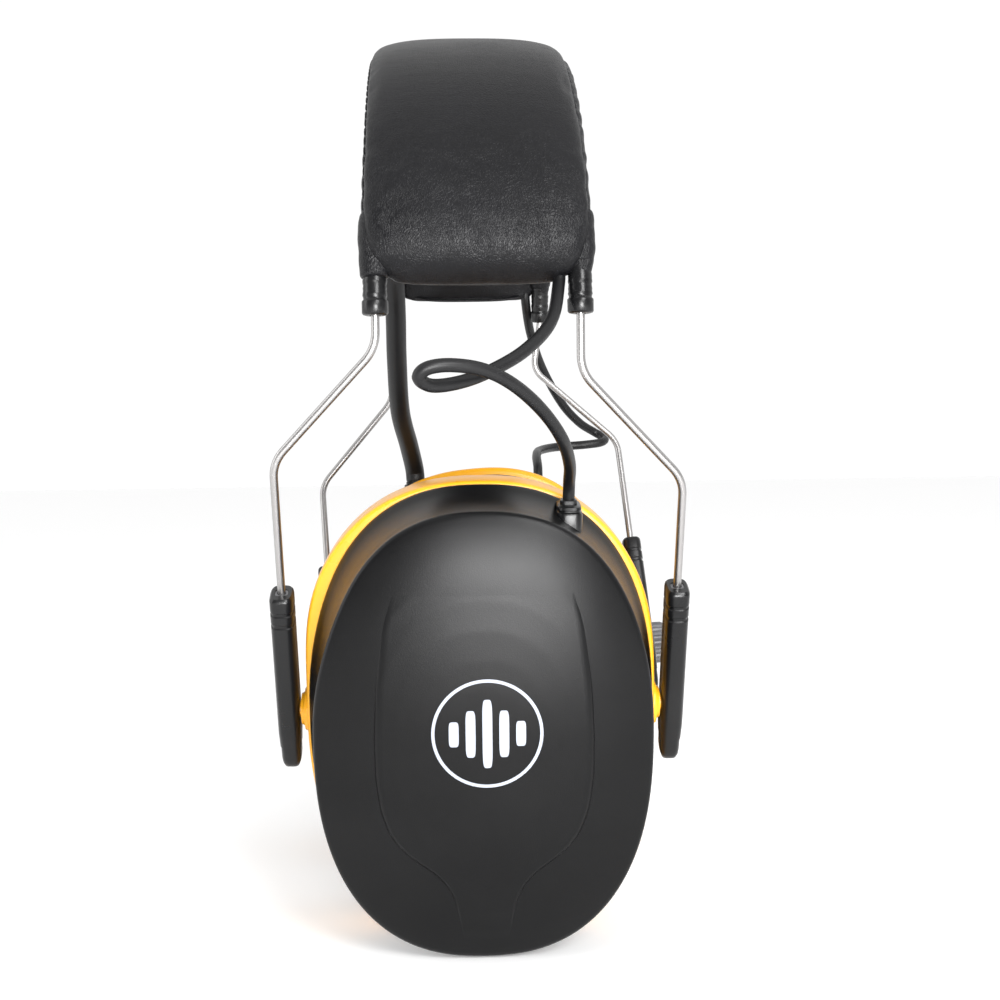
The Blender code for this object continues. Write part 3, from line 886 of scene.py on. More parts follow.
@dataclass(frozen=True)
class Lead:
    """One signal lead that loops freely from the pad to a cup, in three lengths."""

    side: Side
    points: tuple[tuple[float, float, float], ...]
    cuts: tuple[float, float]
    radius: float = 1.5
    inset: float = 2.0
    slack: float = 1e-6

    def build(self) -> None:
        route = smooth_route([Vector(point) * MM for point in self.points], SPAN_STEPS)
        reached = along(route)
        word = self.side.word
        bodies = ("headband", f"{word}_arm", f"{word}_front_slider", f"{word}_cup")
        marks = [0.0, *(cut * MM for cut in self.cuts), reached[-1]]
        last = route[0]
        for i, part in enumerate(("pad", "loop", "cup")):
            low, high = marks[i] - self.slack, marks[i + 1] + self.slack
            path = [point for point, run in zip(route, reached) if low <= run <= high]
            if (last - path[0]).length > self.slack:
                path.insert(0, last)
            last = path[-1]
            piece = tube(f"{word}_lead_{part}", path, self.radius * MM, 4)
            heading = (path[-1] - path[0]).normalized() * self.inset * MM
            span = (bodies[i], bodies[i + 1], path[0] + heading, path[-1] - heading)
            dress(piece, JACKET_BLACK, span, [f"{word}_lead"])
            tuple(path[0])
            along(path)[-1]


LEFT_LEAD = Lead(
    Side.LEFT,
    (
        (19.0, -73.7, -57.1), (18.8, -75.4, -62.0), (16.4, -83, -71), (10, -91.5, -78),
        (1.8, -98, -82.9), (-4.8, -103, -85.4), (-10.7, -107, -86.2), (-13.4, -110, -84.6),
        (-11.5, -111, -82.7), (-6.4, -110, -82.1), (0.5, -107, -83.1), (7.1, -102, -86.3),
        (13.5, -94, -91.6), (18.4, -85, -97.8), (21, -73.5, -103.6), (21.5, -65.5, -108.2),
        (21.5, -63.0, -112.9),
    ),
    (60.0, 96.0),
)
RIGHT_LEAD = Lead(
    Side.RIGHT,
    (
        (19.0, 71.2, -47.4), (19.3, 73.2, -53), (21.4, 82, -62.5), (26, 93, -73.5),
        (33, 101, -85), (39.5, 105.6, -91.8), (45.2, 108.9, -95.3), (48.6, 106.6, -97.6),
        (46.8, 102.6, -99), (41.5, 101.2, -99.7), (35.5, 101.2, -100.1), (29, 98, -100.6),
        (24, 88, -101.6), (22.3, 75, -103.2), (22.1, 65.8, -106.6), (22.0, 63.1, -111.1),
    ),
    (58.0, 92.0),
)


# --- headband ---------------------------------------------------------------------------------


# How far in from the pad's end, share of its width there, outer radius
END_TAPER = (
    (0.0, 0.70, 74.2), (0.7, 0.765, 76.2), (2.2, 0.84, 78.7), (4.6, 0.905, 80.9),
    (8.0, 0.955, 82.3), (12.5, 0.985, 83.0), (18.0, 1.0, 83.2),
)


@dataclass
class Headband:
    """The padded crown with its hems, seams, cuffs and moulded boots (mm)."""

    half_w: float = 26.6
    inner: float = 71.2
    outer: float = 83.2
    end: float = 103.4
    boot_radius: float = 2.85
    boot_length: float = 17.0
    hem_radius: float = 2.9
    seam: float = 76.2
    flank_from: float = 23.0

    @staticmethod
    def flare(run: float) -> float:
        """How much of its full width the pad has gained at a distance from the crown."""
        return min(1.0, abs(run) / 100.0) ** 1.5

    def cover(self) -> None:
        """The stuffed leatherette cover: lofted along the arch, then puffed by cloth pressure."""
        low = -LINE.shifted(Side.LEFT, self.end)
        high = LINE.shifted(Side.RIGHT, self.end)
        stations = [(low + i, share, top) for i, share, top in END_TAPER]
        middle_low, middle_high = low + 24.0, high - 24.0
        stations += [
            (middle_low + (middle_high - middle_low) * i / 36, 1.0, self.outer) for i in range(37)
        ]
        stations += [(high - i, share, top) for i, share, top in reversed(END_TAPER)]
        rings = []
        for station, share, top in stations:
            half = (top - self.inner) / 2.0
            spread = self.flare(station)
            wide = (self.half_w - 1.5 + 1.7 * spread) * share
            shift = -0.9 * (1.0 - spread)
            rings.append(Ring(wide, half, station, shift, self.inner + half))
        piece = loft("pad_cover", rings, 72, superoval(2.9))
        self.wrap(piece)
        settle(piece, 1.7 * MM, 3.0, 1.1 * MM)
        self.crease(piece)
        soften(piece)
        dress(piece, HIDE_BLACK, "headband", ["headband_cover", "headband_foam"], 180.0)

    def wrap(self, piece: Object) -> None:
        """Bend a straight piece round the arch and place it: its Z is distance, its Y radius.

        Args:
            piece: the mesh, in millimetres.
        """
        for vertex in piece.data.vertices:
            vertex.co = LINE.on_arch(vertex.co.x, vertex.co.y, vertex.co.z)
        pick(piece)
        bpy.ops.object.mode_set(mode="EDIT")
        outward()
        place(piece)

    def crease(self, piece: Object) -> None:
        """Draw the cover in along its seams and pucker its sides.

        Args:
            piece: the cover, in metres.
        """
        mesh: Mesh = piece.data
        centre = Vector((0.0, 0.0, -LINE.depth * MM))
        normals = [vertex.normal.copy() for vertex in mesh.vertices]
        for vertex, normal in zip(mesh.vertices, normals):
            reach = vertex.co - centre
            angle = math.atan2(reach.y, reach.z)
            run = angle * LINE.arch
            radius = math.hypot(reach.y, reach.z) / MM
            edge = abs(vertex.co.x) / MM
            flank = clamp((edge - self.flank_from) / 3.0)
            groove = math.exp(-(((radius - self.seam) / 1.0) ** 2)) * flank
            tension = 0.5 + 0.5 * math.sin(run * 0.13 + 1.3 * math.sin(run * 0.05))
            pucker = math.sin(run * 1.05 + 1.7 * math.sin(run * 0.21)) * math.sin(run * 0.43 + 0.6)
            ends = clamp((abs(run + LINE.shift) - 55.0) / 40.0)
            lift = -0.75 * groove + 0.26 * pucker * flank * (0.45 + 0.55 * tension)
            fan = math.sin(run * 0.62 + vertex.co.x / MM * 0.34 * math.copysign(1.0, vertex.co.x))
            top = clamp((radius - 76.0) / 6.0)
            lift += 0.16 * ends * fan * clamp((edge - 12.0) / 12.0) * top
            vertex.co += normal * lift * MM
        mesh.update()

    def hem(self, limb: Limb) -> None:
        """The sewn tunnel that holds one wire along the pad's side, puckered by its thread.

        Args:
            limb: the front or the rear wire.
        """
        low = -LINE.shifted(Side.LEFT, self.end - 1.5)
        high = LINE.shifted(Side.RIGHT, self.end - 1.5)
        steps = 150
        rings = []
        for i in range(steps + 1):
            run = low + (high - low) * i / steps
            close = min(i, steps - i) / steps * (high - low)
            swell = 1.0 - 0.32 * math.exp(-close / 1.4)
            wave = math.sin(run * 1.21 + 1.4 * math.sin(run * 0.19 + limb.value))
            wave += 0.6 * math.sin(run * 2.07 + 0.8 * limb.value)
            spread = self.flare(run)
            size = self.hem_radius * swell * (0.8 + 0.2 * spread) * (1.0 + 0.04 * wave)
            x = limb.value * (LINE.hem_x - 0.3 + 0.7 * spread + 0.12 * math.sin(run * 0.9))
            rings.append(Ring(size, size * 1.12, run, x, LINE.arch + 0.1 + 0.1 * wave))
        piece = loft(f"pad_{limb.word}_hem", rings, 20, superoval(2.2))
        self.wrap(piece)
        soften(piece)
        dress(piece, HIDE_BLACK, "headband", angle=180.0)

    def stitches(self, limb: Limb) -> None:
        """One row of lock stitches between the hem and the cover.

        Args:
            limb: the front or the rear side.
        """
        pitch, length = 3.1, 2.3
        low = -LINE.shifted(Side.LEFT, self.end - 9.0)
        count = int((LINE.shifted(Side.RIGHT, self.end - 9.0) - low) / pitch)
        half = length / 2
        rings = [Ring(0.08, 0.08, -half), Ring(0.24, 0.2, -half + 0.3), Ring(0.28, 0.26, 0.0),
                 Ring(0.24, 0.2, half - 0.3), Ring(0.08, 0.08, half)]
        model = loft(f"pad_{limb.word}_stitches", rings, 8)
        row = [model]
        for i in range(1, count):
            copy = model.copy()
            copy.data = model.data.copy()
            bpy.context.collection.objects.link(copy)
            row.append(copy)
        for i, stitch in enumerate(row):
            spread = self.flare(low + i * pitch)
            x = limb.value * (self.half_w - 1.75 + 1.7 * spread) - 0.9 * (1.0 - spread)
            middle = LINE.on_arch(x, 77.6, low + i * pitch)
            turn = Matrix.Rotation(-(low + i * pitch) / LINE.arch + math.pi / 2.0 + 0.12, 4, "X")
            stitch.data.transform(Matrix.Translation(middle) @ turn)
        piece = place(join(row))
        dress(piece, THREAD_BLACK, "headband", angle=60.0)

    def cuff(self, side: Side, limb: Limb) -> None:
        """The corner of the cover that is gathered round a boot.

        Args:
            side: left or right.
            limb: front or rear.
        """
        steps = 26
        reach = 15.5 if limb is Limb.FRONT else 12.5
        rings = []
        for i in range(steps + 1):
            t = i / steps
            run = LINE.shifted(side, self.end - 17.0 + reach * t)
            fold = math.sin(9.5 * t + limb.value) * 0.10 + math.sin(21.0 * t + side.value) * 0.05
            wide = 4.6 - 1.35 * t**1.6 + fold
            tall = 4.9 - 1.55 * t**1.4 + 0.7 * fold
            if i == steps:
                wide, tall = wide - 0.35, tall - 0.35
            x = limb.value * (LINE.hem_x - 1.1 * (1.0 - t) ** 2)
            rings.append(Ring(wide, tall, run, x, LINE.arch + 0.2))
        piece = loft(f"{side.word}_{limb.word}_cuff", rings, 24, superoval(2.3))
        self.wrap_side(piece, side)
        soften(piece)
        dress(piece, HIDE_BLACK, "headband", angle=180.0)

    def wrap_side(self, piece: Object, side: Side) -> None:
        """Bend a straight piece round one side of the arch and place it.

        Args:
            piece: the mesh, in millimetres, with unsigned distance in its Z.
            side: left or right.
        """
        for vertex in piece.data.vertices:
            vertex.co.z *= side.value
        self.wrap(piece)

    def boot(self, side: Side, limb: Limb) -> None:
        """A glossy sleeve on the wire with a ring at its mouth and soft wrinkles.

        Args:
            side: left or right.
            limb: front or rear.
        """
        r, mouth = self.boot_radius, LINE.shifted(side, LINE.boot_end)
        profile = [(1.25, 0.9), (1.25, 0.0), (r - 0.55, 0.0), (r - 0.05, 0.15), (r + 0.22, 0.5),
                   (r + 0.25, 3.0), (r + 0.2, 3.3), (r - 0.12, 3.6), (r - 0.14, 4.0)]
        creases = 22
        for i in range(1, creases):
            t = i / creases
            wave = 0.07 * math.sin(i * 2.4 + side.value + 0.7 * limb.value)
            wave += 0.05 * math.sin(i * 1.1)
            profile.append((r - 0.04 + wave, 4.0 + (self.boot_length - 4.4) * t))
        profile += [(r - 0.3, self.boot_length - 0.2), (r - 0.9, self.boot_length)]
        rings = [
            Ring(max(radius, 1e-3), radius, mouth - above, limb.value * LINE.hem_x, LINE.arch)
            for radius, above in profile
        ]
        piece = loft(f"{side.word}_{limb.word}_boot_sleeve", rings, 32, end=Cap.FLAT)
        self.wrap_side(piece, side)
        dress(piece, SLEEVE_BLACK, "headband", [f"{side.word}_{limb.word}_boot"], 50.0)

    def welt(self, side: Side) -> None:
        """The thin piped edge across one end of the pad.

        Args:
            side: left or right.
        """
        run = side.value * LINE.shifted(side, self.end - 1.0)
        path = []
        for i in range(33):
            t = -1.0 + i / 16.0
            reach = run - side.value * 0.9 * t**4
            path.append(LINE.on_arch(17.2 * t, 71.9 + 0.5 * t * t, reach) * MM)
        piece = tube(f"{side.word}_pad_welt", path, 0.45 * MM)
        dress(piece, HIDE_BLACK, "headband", angle=60.0)

    def build(self) -> None:
        """Make the whole headband."""
        self.cover()
        for limb in Limb:
            self.hem(limb)
            self.stitches(limb)
        for side in Side:
            self.welt(side)
            for limb in Limb:
                self.cuff(side, limb)
                self.boot(side, limb)


# --- arms -------------------------------------------------------------------------------------


@dataclass
class Arm:
    """One side's two spring legs with the sliders that hold the cup (mm)."""

    side: Side
    wire: float = 1.0
    bend: float = 4.0
    seated: float = 8.0
    half_x: float = 2.95
    half_y: float = 4.5
    length: float = 50.0

    def leg(self, limb: Limb) -> None:
        """The bright wire from the boot's mouth into the slider.

        Args:
            limb: front or rear.
        """
        side, arm = self.side, LINE.arm(self.side)
        creep = -side.value * limb.value * LINE.creep
        x, yoke = limb.value * LINE.hem_x, limb.value * LINE.yoke_x
        start = LINE.shifted(side, LINE.boot_end)
        corners = [
            LINE.at(side, x, start - 2.0),
            LINE.at(side, x, start + 0.3),
            arm @ LINE.at(side, x, LINE.upper_bend + creep),
            arm @ LINE.at(side, yoke, LINE.lower_bend + creep),
            arm @ LINE.at(side, yoke, LINE.slider_top + self.seated + creep),
        ]
        path = [point * MM for point in (corners[0], *rounded(corners[1:], self.bend, 10))]
        piece = tube(f"{side.word}_{limb.word}_spring_leg", path, self.wire * MM, 5)
        span = ("headband", f"{side.word}_arm", corners[1] * MM, corners[2] * MM)
        dress(piece, SPRING_STEEL, span, [f"{side.word}_{limb.word}_wire"], 60.0)

    def slider(self, limb: Limb) -> None:
        """The black slider on the wire's end, with two rings at its mouth.

        Args:
            limb: front or rear.
        """
        x, y, end = self.half_x, self.half_y, -self.length
        profile = [
            (x * 0.12, y * 0.12, end - 0.0), (x * 0.42, y * 0.38, end + 0.1),
            (x * 0.66, y * 0.62, end + 0.7), (x * 0.8, y * 0.77, end + 1.9),
            (x * 0.86, y * 0.82, end + 3.4), (x * 0.88, y * 0.85, end + 7.0),
            (x * 0.93, y * 0.93, -43.0), (x * 0.97, y * 0.98, -40.5), (x, y, -38.5),
            (x, y, -20.0), (x, y, -8.2), (x - 0.32, y - 0.32, -7.9), (x - 0.32, y - 0.32, -7.2),
            (x, y, -6.9), (x, y, -4.9), (x - 0.32, y - 0.32, -4.6), (x - 0.32, y - 0.32, -4.0),
            (x, y, -3.7), (x, y, -1.2), (x - 0.12, y - 0.15, -0.5), (x - 0.5, y - 0.7, 0.0),
            (1.75, 1.75, 0.0), (1.3, 1.3, -0.5), (1.25, 1.25, -2.0),
        ]
        rings = [Ring(a, b, depth) for a, b, depth in profile]
        piece = loft(f"{self.side.word}_{limb.word}_slide_block", rings, 48, superoval(3.6))
        place(piece, LINE.slider_frame(self.side, limb))
        body = f"{self.side.word}_{limb.word}_slider"
        dress(piece, SLEEVE_BLACK, body, [body], 40.0)

    def build(self) -> None:
        """Make both legs and both sliders."""
        for limb in Limb:
            self.leg(limb)
            self.slider(limb)


# --- cups -------------------------------------------------------------------------------------


@dataclass
class Cup:
    """One ear cup: yellow base, black shell with its raised panel, and ear cushion (mm)."""

    side: Side
    power: float = 2.4
    lift: float = 1.2
    base_back: float = -6.5
    base_front: float = 6.0

    @property
    def body(self) -> str:
        """The body that the cup's pieces ride on."""
        return f"{self.side.word}_cup"

    @property
    def frame(self) -> Matrix:
        """The cup's frame in metres."""
        return LINE.cup_frame(self.side)

    def oval(self, half_w: float, half_h: float, out: float) -> Ring:
        """A section of the cup."""
        return Ring(half_w, half_h, out, 0.0, self.lift)

    def section(
        self, name: str, sizes: Sequence[Sequence[float]], count: int, end: Cap = Cap.BRIDGE
    ) -> Object:
        """A loft through sections of the cup.

        Args:
            name: the piece's name without its side.
            sizes: half width, half height and distance out of each section.
            count: vertices in each section.
            end: how the last section closes.

        Returns:
            The closed mesh, in millimetres.
        """
        rings = [self.oval(*size) for size in sizes]
        return loft(f"{self.side.word}_{name}", rings, count, superoval(self.power), end=end)

    def fit(self, piece: Object, finish: Finish, nodes: Sequence[str], angle: float) -> None:
        """Put a piece in the cup and dress it.

        Args:
            piece: the mesh, in millimetres.
            finish: its surface.
            nodes: the frame's nodes that it replaces.
            angle: edges sharper than this stay sharp, in degrees.
        """
        place(piece, self.frame)
        dress(piece, finish, self.body, nodes, angle)

    def base(self) -> None:
        """The yellow tray with its rolled rim and a pivot boss on each side."""
        back, front = self.base_back, self.base_front
        sizes = [
            (42.2, 56.2, back), (43.0, 57.0, back + 0.25), (43.6, 57.6, back + 0.9),
            (43.85, 57.85, back + 2.0), (44.0, 58.0, 0.0), (44.0, 58.0, front - 1.3),
            (43.9, 57.9, front - 0.6), (43.6, 57.6, front - 0.15), (43.2, 57.2, front),
            (41.0, 55.0, front), (40.8, 54.8, front - 0.3), (40.8, 54.8, back + 3.3),
            (40.4, 54.4, back + 3.0), (21.6, 30.6, back + 3.0), (21.0, 30.0, back + 2.5),
            (21.0, 30.0, back + 0.4), (21.4, 30.4, back),
        ]
        piece = self.section("base_tray", sizes, 144)
        self.fuller(piece, (0.05, 0.03), (0.0, 0.0))
        for limb in Limb:
            profile = [
                (0.4, 42.0), (5.3, 42.0), (5.6, 42.4), (5.6, 44.4), (5.35, 44.75), (4.45, 44.9),
                (4.25, 45.15), (4.05, 45.5), (4.05, 45.65), (3.2, 45.7), (2.2, 45.75), (2.2, 50.2),
                (1.9, 50.6), (0.4, 50.6),
            ]
            boss = loft("boss", lathe_rings(profile), 48)
            turn = Matrix.Rotation(limb.value * math.pi / 2.0, 4, "Y")
            boss.data.transform(turn)
            fuse(piece, boss)
        self.fit(piece, CUP_YELLOW, [f"{self.body}_base"], 38.0)

    def fuller(self, piece: Object, wide: tuple[float, float], narrow: tuple[float, float]) -> None:
        """Make the cup's upper half broader, and draw it in further out.

        Args:
            piece: the base or the shell, in millimetres.
            wide: how much broader it is, at the front and at the rear, as a share.
            narrow: how much of that is lost at the shell's face.
        """
        near, far = 6.0, 31.0
        for vertex in piece.data.vertices:
            x, y, out = vertex.co
            up = ease(clamp((y - 4.0) / 34.0))
            drawn = clamp((out - near) / (far - near))
            vertex.co.x = x * (1.0 + up * (wide[x > 0.0] - narrow[x > 0.0] * drawn))

    def shell_sizes(self) -> list[tuple[float, float, float]]:
        """The shell's outer half sizes against its distance out."""
        return [
            (42.7, 56.9, 6.3), (43.1, 57.3, 6.45), (43.2, 57.4, 6.9), (42.95, 57.15, 7.7),
            (42.2, 56.5, 9.2), (41.4, 55.8, 11.5), (40.6, 55.1, 15.0), (40.1, 54.65, 19.5),
            (40.0, 54.55, 23.5), (40.1, 54.65, 26.5), (40.3, 54.85, 28.8), (40.4, 54.95, 30.0),
            (40.25, 54.8, 30.7), (39.8, 54.3, 31.15), (39.1, 53.5, 31.5), (37.4, 51.4, 32.2),
            (34.2, 47.0, 33.4), (30.0, 41.2, 34.55), (25.5, 35.0, 35.35), (20.5, 28.2, 35.98),
            (15.5, 21.4, 36.38), (10.5, 14.6, 36.62), (5.5, 7.8, 36.72), (1.5, 2.2, 36.75),
        ]

    def shell(self) -> Object:
        """The satin black shell as one wall, open towards the head.

        Returns:
            The shell, still in millimetres, so that the panel can be fitted to it.
        """
        wall = 2.2
        outer = [self.oval(*size) for size in self.shell_sizes()[::-1]]
        inner = [
            self.oval(w - wall, h - wall, max(out - wall, 6.3))
            for w, h, out in self.shell_sizes() if w > wall + 3.0
        ]
        return loft(f"{self.side.word}_outer_shell", outer + inner, 160, superoval(self.power),
                    Cap.POINT, Cap.POINT)

    def panel_half(self, height: float) -> float:
        """Half width of the raised panel at a height, in millimetres."""
        knots = (
            (42.0, 21.6), (36.0, 22.6), (29.6, 23.8), (16.0, 25.4), (3.6, 26.0), (-6.0, 25.9),
            (-14.0, 24.9), (-19.5, 23.2), (-23.6, 20.8), (-26.4, 18.0), (-28.6, 14.8),
            (-31.0, 11.7), (-34.0, 9.3), (-38.0, 7.6), (-43.0, 6.8), (-48.0, 6.3), (-53.0, 5.9),
        )
        for (high, wide), (low, narrow) in zip(knots, knots[1:]):
            if height >= low:
                t = clamp((high - height) / (high - low))
                return wide + (narrow - wide) * t
        return knots[-1][1]

    def panel(self, tree: BVHTree) -> Object:
        """The vase-shaped panel that stands just proud of the shell's face.

        Args:
            tree: the shell's surface, in millimetres.

        Returns:
            The panel, in millimetres.
        """
        top, bottom, rows, columns = 42.0, -51.0, 150, 48
        deselect()
        bpy.ops.mesh.primitive_grid_add(x_subdivisions=columns, y_subdivisions=rows, size=2.0)
        piece = bpy.context.object
        piece.name = piece.data.name = f"{self.side.word}_shell_panel"
        step, sunk, flush, proud = 1.1, -0.3, -0.04, 1.05
        widths = [self.panel_half(top + (bottom - top) * i / rows) for i in range(rows + 1)]
        for _ in range(5):
            widths = [
                (widths[max(i - 1, 0)] + widths[i] + widths[min(i + 1, rows)]) / 3.0
                for i in range(rows + 1)
            ]
        for vertex in piece.data.vertices:
            u, v = vertex.co.x, (1.0 - vertex.co.y) / 2.0
            row = min(rows, max(0, round(v * rows)))
            half = widths[row]
            height = top + (bottom - top) * v
            slope = (widths[min(row + 1, rows)] - widths[max(row - 1, 0)]) * rows
            slope /= 2.0 * (bottom - top)
            curve = math.exp(-(((height + 26.0) / 7.0) ** 2))
            border = step * (1.0 + 0.5 * curve) * math.sqrt(1.0 + slope * slope)
            share = math.copysign(abs(u) ** 0.75, u)
            x = share * half
            rim = clamp((half - abs(x)) / border)
            above, below = min(1.0, v / 0.42), min(1.0, (1.0 - v) / 0.26)
            fade = ease(above) * ease(below)
            level = flush + (proud - flush) * fade
            rise = sunk + (level - sunk) * ease(rim)
            hit = tree.ray_cast(Vector((x, height, 60.0)), Vector((0.0, 0.0, -1.0)))[0]
            vertex.co = (x, height, (hit.z if hit else 30.0) + rise)
        pick(piece)
        bpy.ops.object.mode_set(mode="EDIT")
        bpy.ops.mesh.select_all(action="SELECT")
        bpy.ops.mesh.extrude_region_move(TRANSFORM_OT_translate={"value": (0, 0, -0.8)})
        outward()
        return piece

    def emblem(self, tree: BVHTree) -> Object:
        """A generic printed mark: a ring round five level bars.

        Args:
            tree: the panel's surface, in millimetres.

        Returns:
            The print, in millimetres.
        """
        radius, stroke, thickness = 13.0, 0.75, 0.05
        middle = Vector((0.6, 5.2, 0.0))
        rings = [Ring(radius - stroke * t, radius - stroke * t, 0.0) for t in (0.0, 0.5, 1.0)]
        parts = [self.flat(rings, 160, ROUND, True)]
        parts[0].data.transform(Matrix.Translation(middle))
        for i, tall in enumerate((3.0, 5.6, 8.2, 5.6, 3.0)):
            rings = [Ring(1.15 * t, tall * (1.0 - (1.0 - t) * 0.6), 0.0) for t in (1.0, 0.6, 0.25)]
            bar = self.flat(rings, 48, superoval(5.0), False)
            bar.data.transform(Matrix.Translation(middle + Vector(((i - 2) * 3.9, 0.0, 0.0))))
            parts.append(bar)
        piece = join(parts)
        piece.name = piece.data.name = f"{self.side.word}_level_emblem"
        for vertex in piece.data.vertices:
            hit = tree.ray_cast(Vector((vertex.co.x, vertex.co.y, 60.0)), Vector((0, 0, -1)))[0]
            vertex.co.z = (hit.z if hit else 36.0) + thickness
        apply_modifier(piece, "SOLIDIFY", thickness=2.0 * thickness, offset=-1.0)
        return piece

    def flat(self, rings: Sequence[Ring], count: int, outline: Outline, hollow: bool) -> Object:
        """A flat printed shape with enough points to lie on a curved face.

        Args:
            rings: its sections, from the outside in.
            count: points round it.
            outline: its unit outline.
            hollow: whether its middle stays open.

        Returns:
            The open surface, facing up.
        """
        piece = sweep(rings, count, outline)
        if not hollow:
            bpy.ops.mesh.edge_face_add()
        outward()
        if piece.data.polygons[0].normal.z < 0.0:
            piece.data.flip_normals()
        return piece

    def face(self) -> None:
        """The shell, its panel and its print."""
        shell = self.shell()
        self.fuller(shell, (-0.02, 0.0), (0.035, 0.02))
        tree = BVHTree.FromObject(shell, bpy.context.evaluated_depsgraph_get())
        panel = self.panel(tree)
        raised = BVHTree.FromObject(panel, bpy.context.evaluated_depsgraph_get())
        emblem = self.emblem(raised)
        for piece, finish, nodes, angle in (
            (shell, SHELL_BLACK, [f"{self.body}_shell"], 40.0),
            (panel, SHELL_BLACK, [], 60.0),
            (emblem, PRINT_GREY, [], 30.0),
        ):
            self.fit(piece, finish, nodes, angle)

    def clip_ring(self) -> None:
        """The black ring that the ear cushion snaps to."""
        sizes = [
            (40.8, 53.8, -6.8), (41.1, 54.1, -7.1), (41.1, 54.1, -8.3), (40.8, 53.8, -8.6),
            (23.2, 32.2, -8.6), (23.0, 32.0, -8.3), (23.0, 32.0, -7.1), (23.2, 32.2, -6.8),
        ]
        piece = self.section("clip_ring", sizes, 112)
        self.fit(piece, RING_BLACK, [f"{self.side.word}_cushion_ring"], 40.0)

    def cushion(self) -> None:
        """The stuffed ear cushion, puffed by cloth pressure and drawn in at its seams."""
        back, face = -8.9, -25.4
        sizes = [
            (38.6, 51.6, back), (40.4, 53.2, back - 1.2), (41.2, 54.0, back - 3.5),
            (41.4, 54.2, back - 7.0), (41.0, 53.8, face + 5.0), (39.8, 52.6, face + 2.2),
            (37.4, 50.0, face + 0.5), (33.6, 45.6, face), (29.0, 40.0, face + 0.1),
            (25.0, 35.0, face + 1.0), (22.4, 31.6, face + 2.8), (21.0, 29.8, face + 5.2),
            (20.7, 29.4, back - 6.0), (21.6, 30.6, back),
        ]
        piece = self.section("ear_pad", sizes, 96)
        place(piece, self.frame)
        settle(piece, 1.9 * MM, 3.0, 0.9 * MM)
        self.gather(piece)
        soften(piece)
        dress(piece, HIDE_BLACK, self.body, [f"{self.side.word}_ear_cushion"], 180.0)

    def gather(self, piece: Object) -> None:
        """Draw the cushion in along its outer seam and gather its inner edge.

        Args:
            piece: the cushion, in metres.
        """
        back = self.frame.inverted()
        normals = [vertex.normal.copy() for vertex in piece.data.vertices]
        for vertex, normal in zip(piece.data.vertices, normals):
            local = back @ vertex.co / MM
            x, y, out = local.x / 41.4, (local.y - self.lift) / 54.2, local.z
            reach, turn = math.hypot(x, y), math.atan2(y, x)
            outside = clamp((reach - 0.78) / 0.1)
            inside = clamp((0.62 - reach) / 0.1)
            seam = math.exp(-(((out + 12.6) / 0.8) ** 2)) * outside
            ripple = math.sin(64 * turn + 1.5 * math.sin(9 * turn))
            near = math.exp(-(((out + 13.2) / 2.6) ** 2)) * outside
            lift = -0.55 * seam + 0.09 * ripple * near + 0.22 * inside * math.sin(40 * turn)
            vertex.co += normal * lift * MM
        piece.data.update()

    def ear_foam(self) -> None:
        """The thin foam sheet in front of the speaker."""
        sizes = [(28.6, 39.6, -0.3), (29.0, 40.0, -0.6), (29.0, 40.0, -2.9), (28.6, 39.6, -3.2),
                 (20.0, 28.0, -3.25), (10.0, 14.0, -3.28), (3.0, 4.2, -3.3)]
        piece = self.section("grille_foam", sizes, 72, Cap.POINT)
        self.fit(piece, FOAM_GREY, [f"{self.side.word}_ear_foam"], 40.0)

    def lining(self) -> None:
        """The sound-absorbing foam in the shell."""
        sizes = [(25.4, 37.4, 20.5), (26.0, 38.0, 21.0), (25.6, 37.6, 25.0), (25.0, 37.0, 28.4),
                 (24.4, 36.4, 28.9)]
        piece = self.section("foam_lining", sizes, 64, Cap.FLAT)
        self.fit(piece, FOAM_GREY, [f"{self.side.word}_sound_foam"], 40.0)

    def relief(self, name: str, node: str, x: float, top: float, size: Sequence[float],
               hole: float) -> None:
        """A tapered rubber block in the rim with grip rings round the lead.

        Args:
            name: the piece's name.
            node: the frame's node that it replaces.
            x: how far back it stands.
            top: its top in the cup's frame.
            size: its width, depth and height.
            hole: the radius of what goes in at its top.
        """
        half_x, half_z = size[0] / 2.0, size[1] / 2.0
        out = 6.6 + half_z
        low = top - size[2]
        profile = [
            (0.94, low), (1.0, low + 0.4), (1.0, top - 2.2), (0.97, top - 1.6), (0.86, top - 1.35),
            (0.86, top - 1.0), (0.93, top - 0.8), (0.9, top - 0.2), (0.8, top),
        ]
        rings = [Ring(half_x * s, half_z * s, depth) for s, depth in profile]
        collar = hole + 0.55
        rings += [Ring(collar, collar, top), Ring(collar, collar, top + 0.8),
                  Ring(collar - 0.2, collar - 0.2, top + 1.0)]
        piece = loft(name, rings, 40, superoval(4.0))
        piece.data.transform(Matrix(((1, 0, 0, x), (0, 0, 1, 0), (0, 1, 0, out), (0, 0, 0, 1))))
        piece.data.flip_normals()
        self.fit(piece, SLEEVE_BLACK, [node], 40.0)

    def build(self) -> None:
        """Make the cup."""
        self.base()
        self.face()
        self.clip_ring()
        self.cushion()
        self.ear_foam()
        self.lining()
        self.relief(f"{self.side.word}_lead_grommet", f"{self.side.word}_lead_relief", 21.5, 54.6,
                    (6.4, 12.4, 6.4), 1.5)


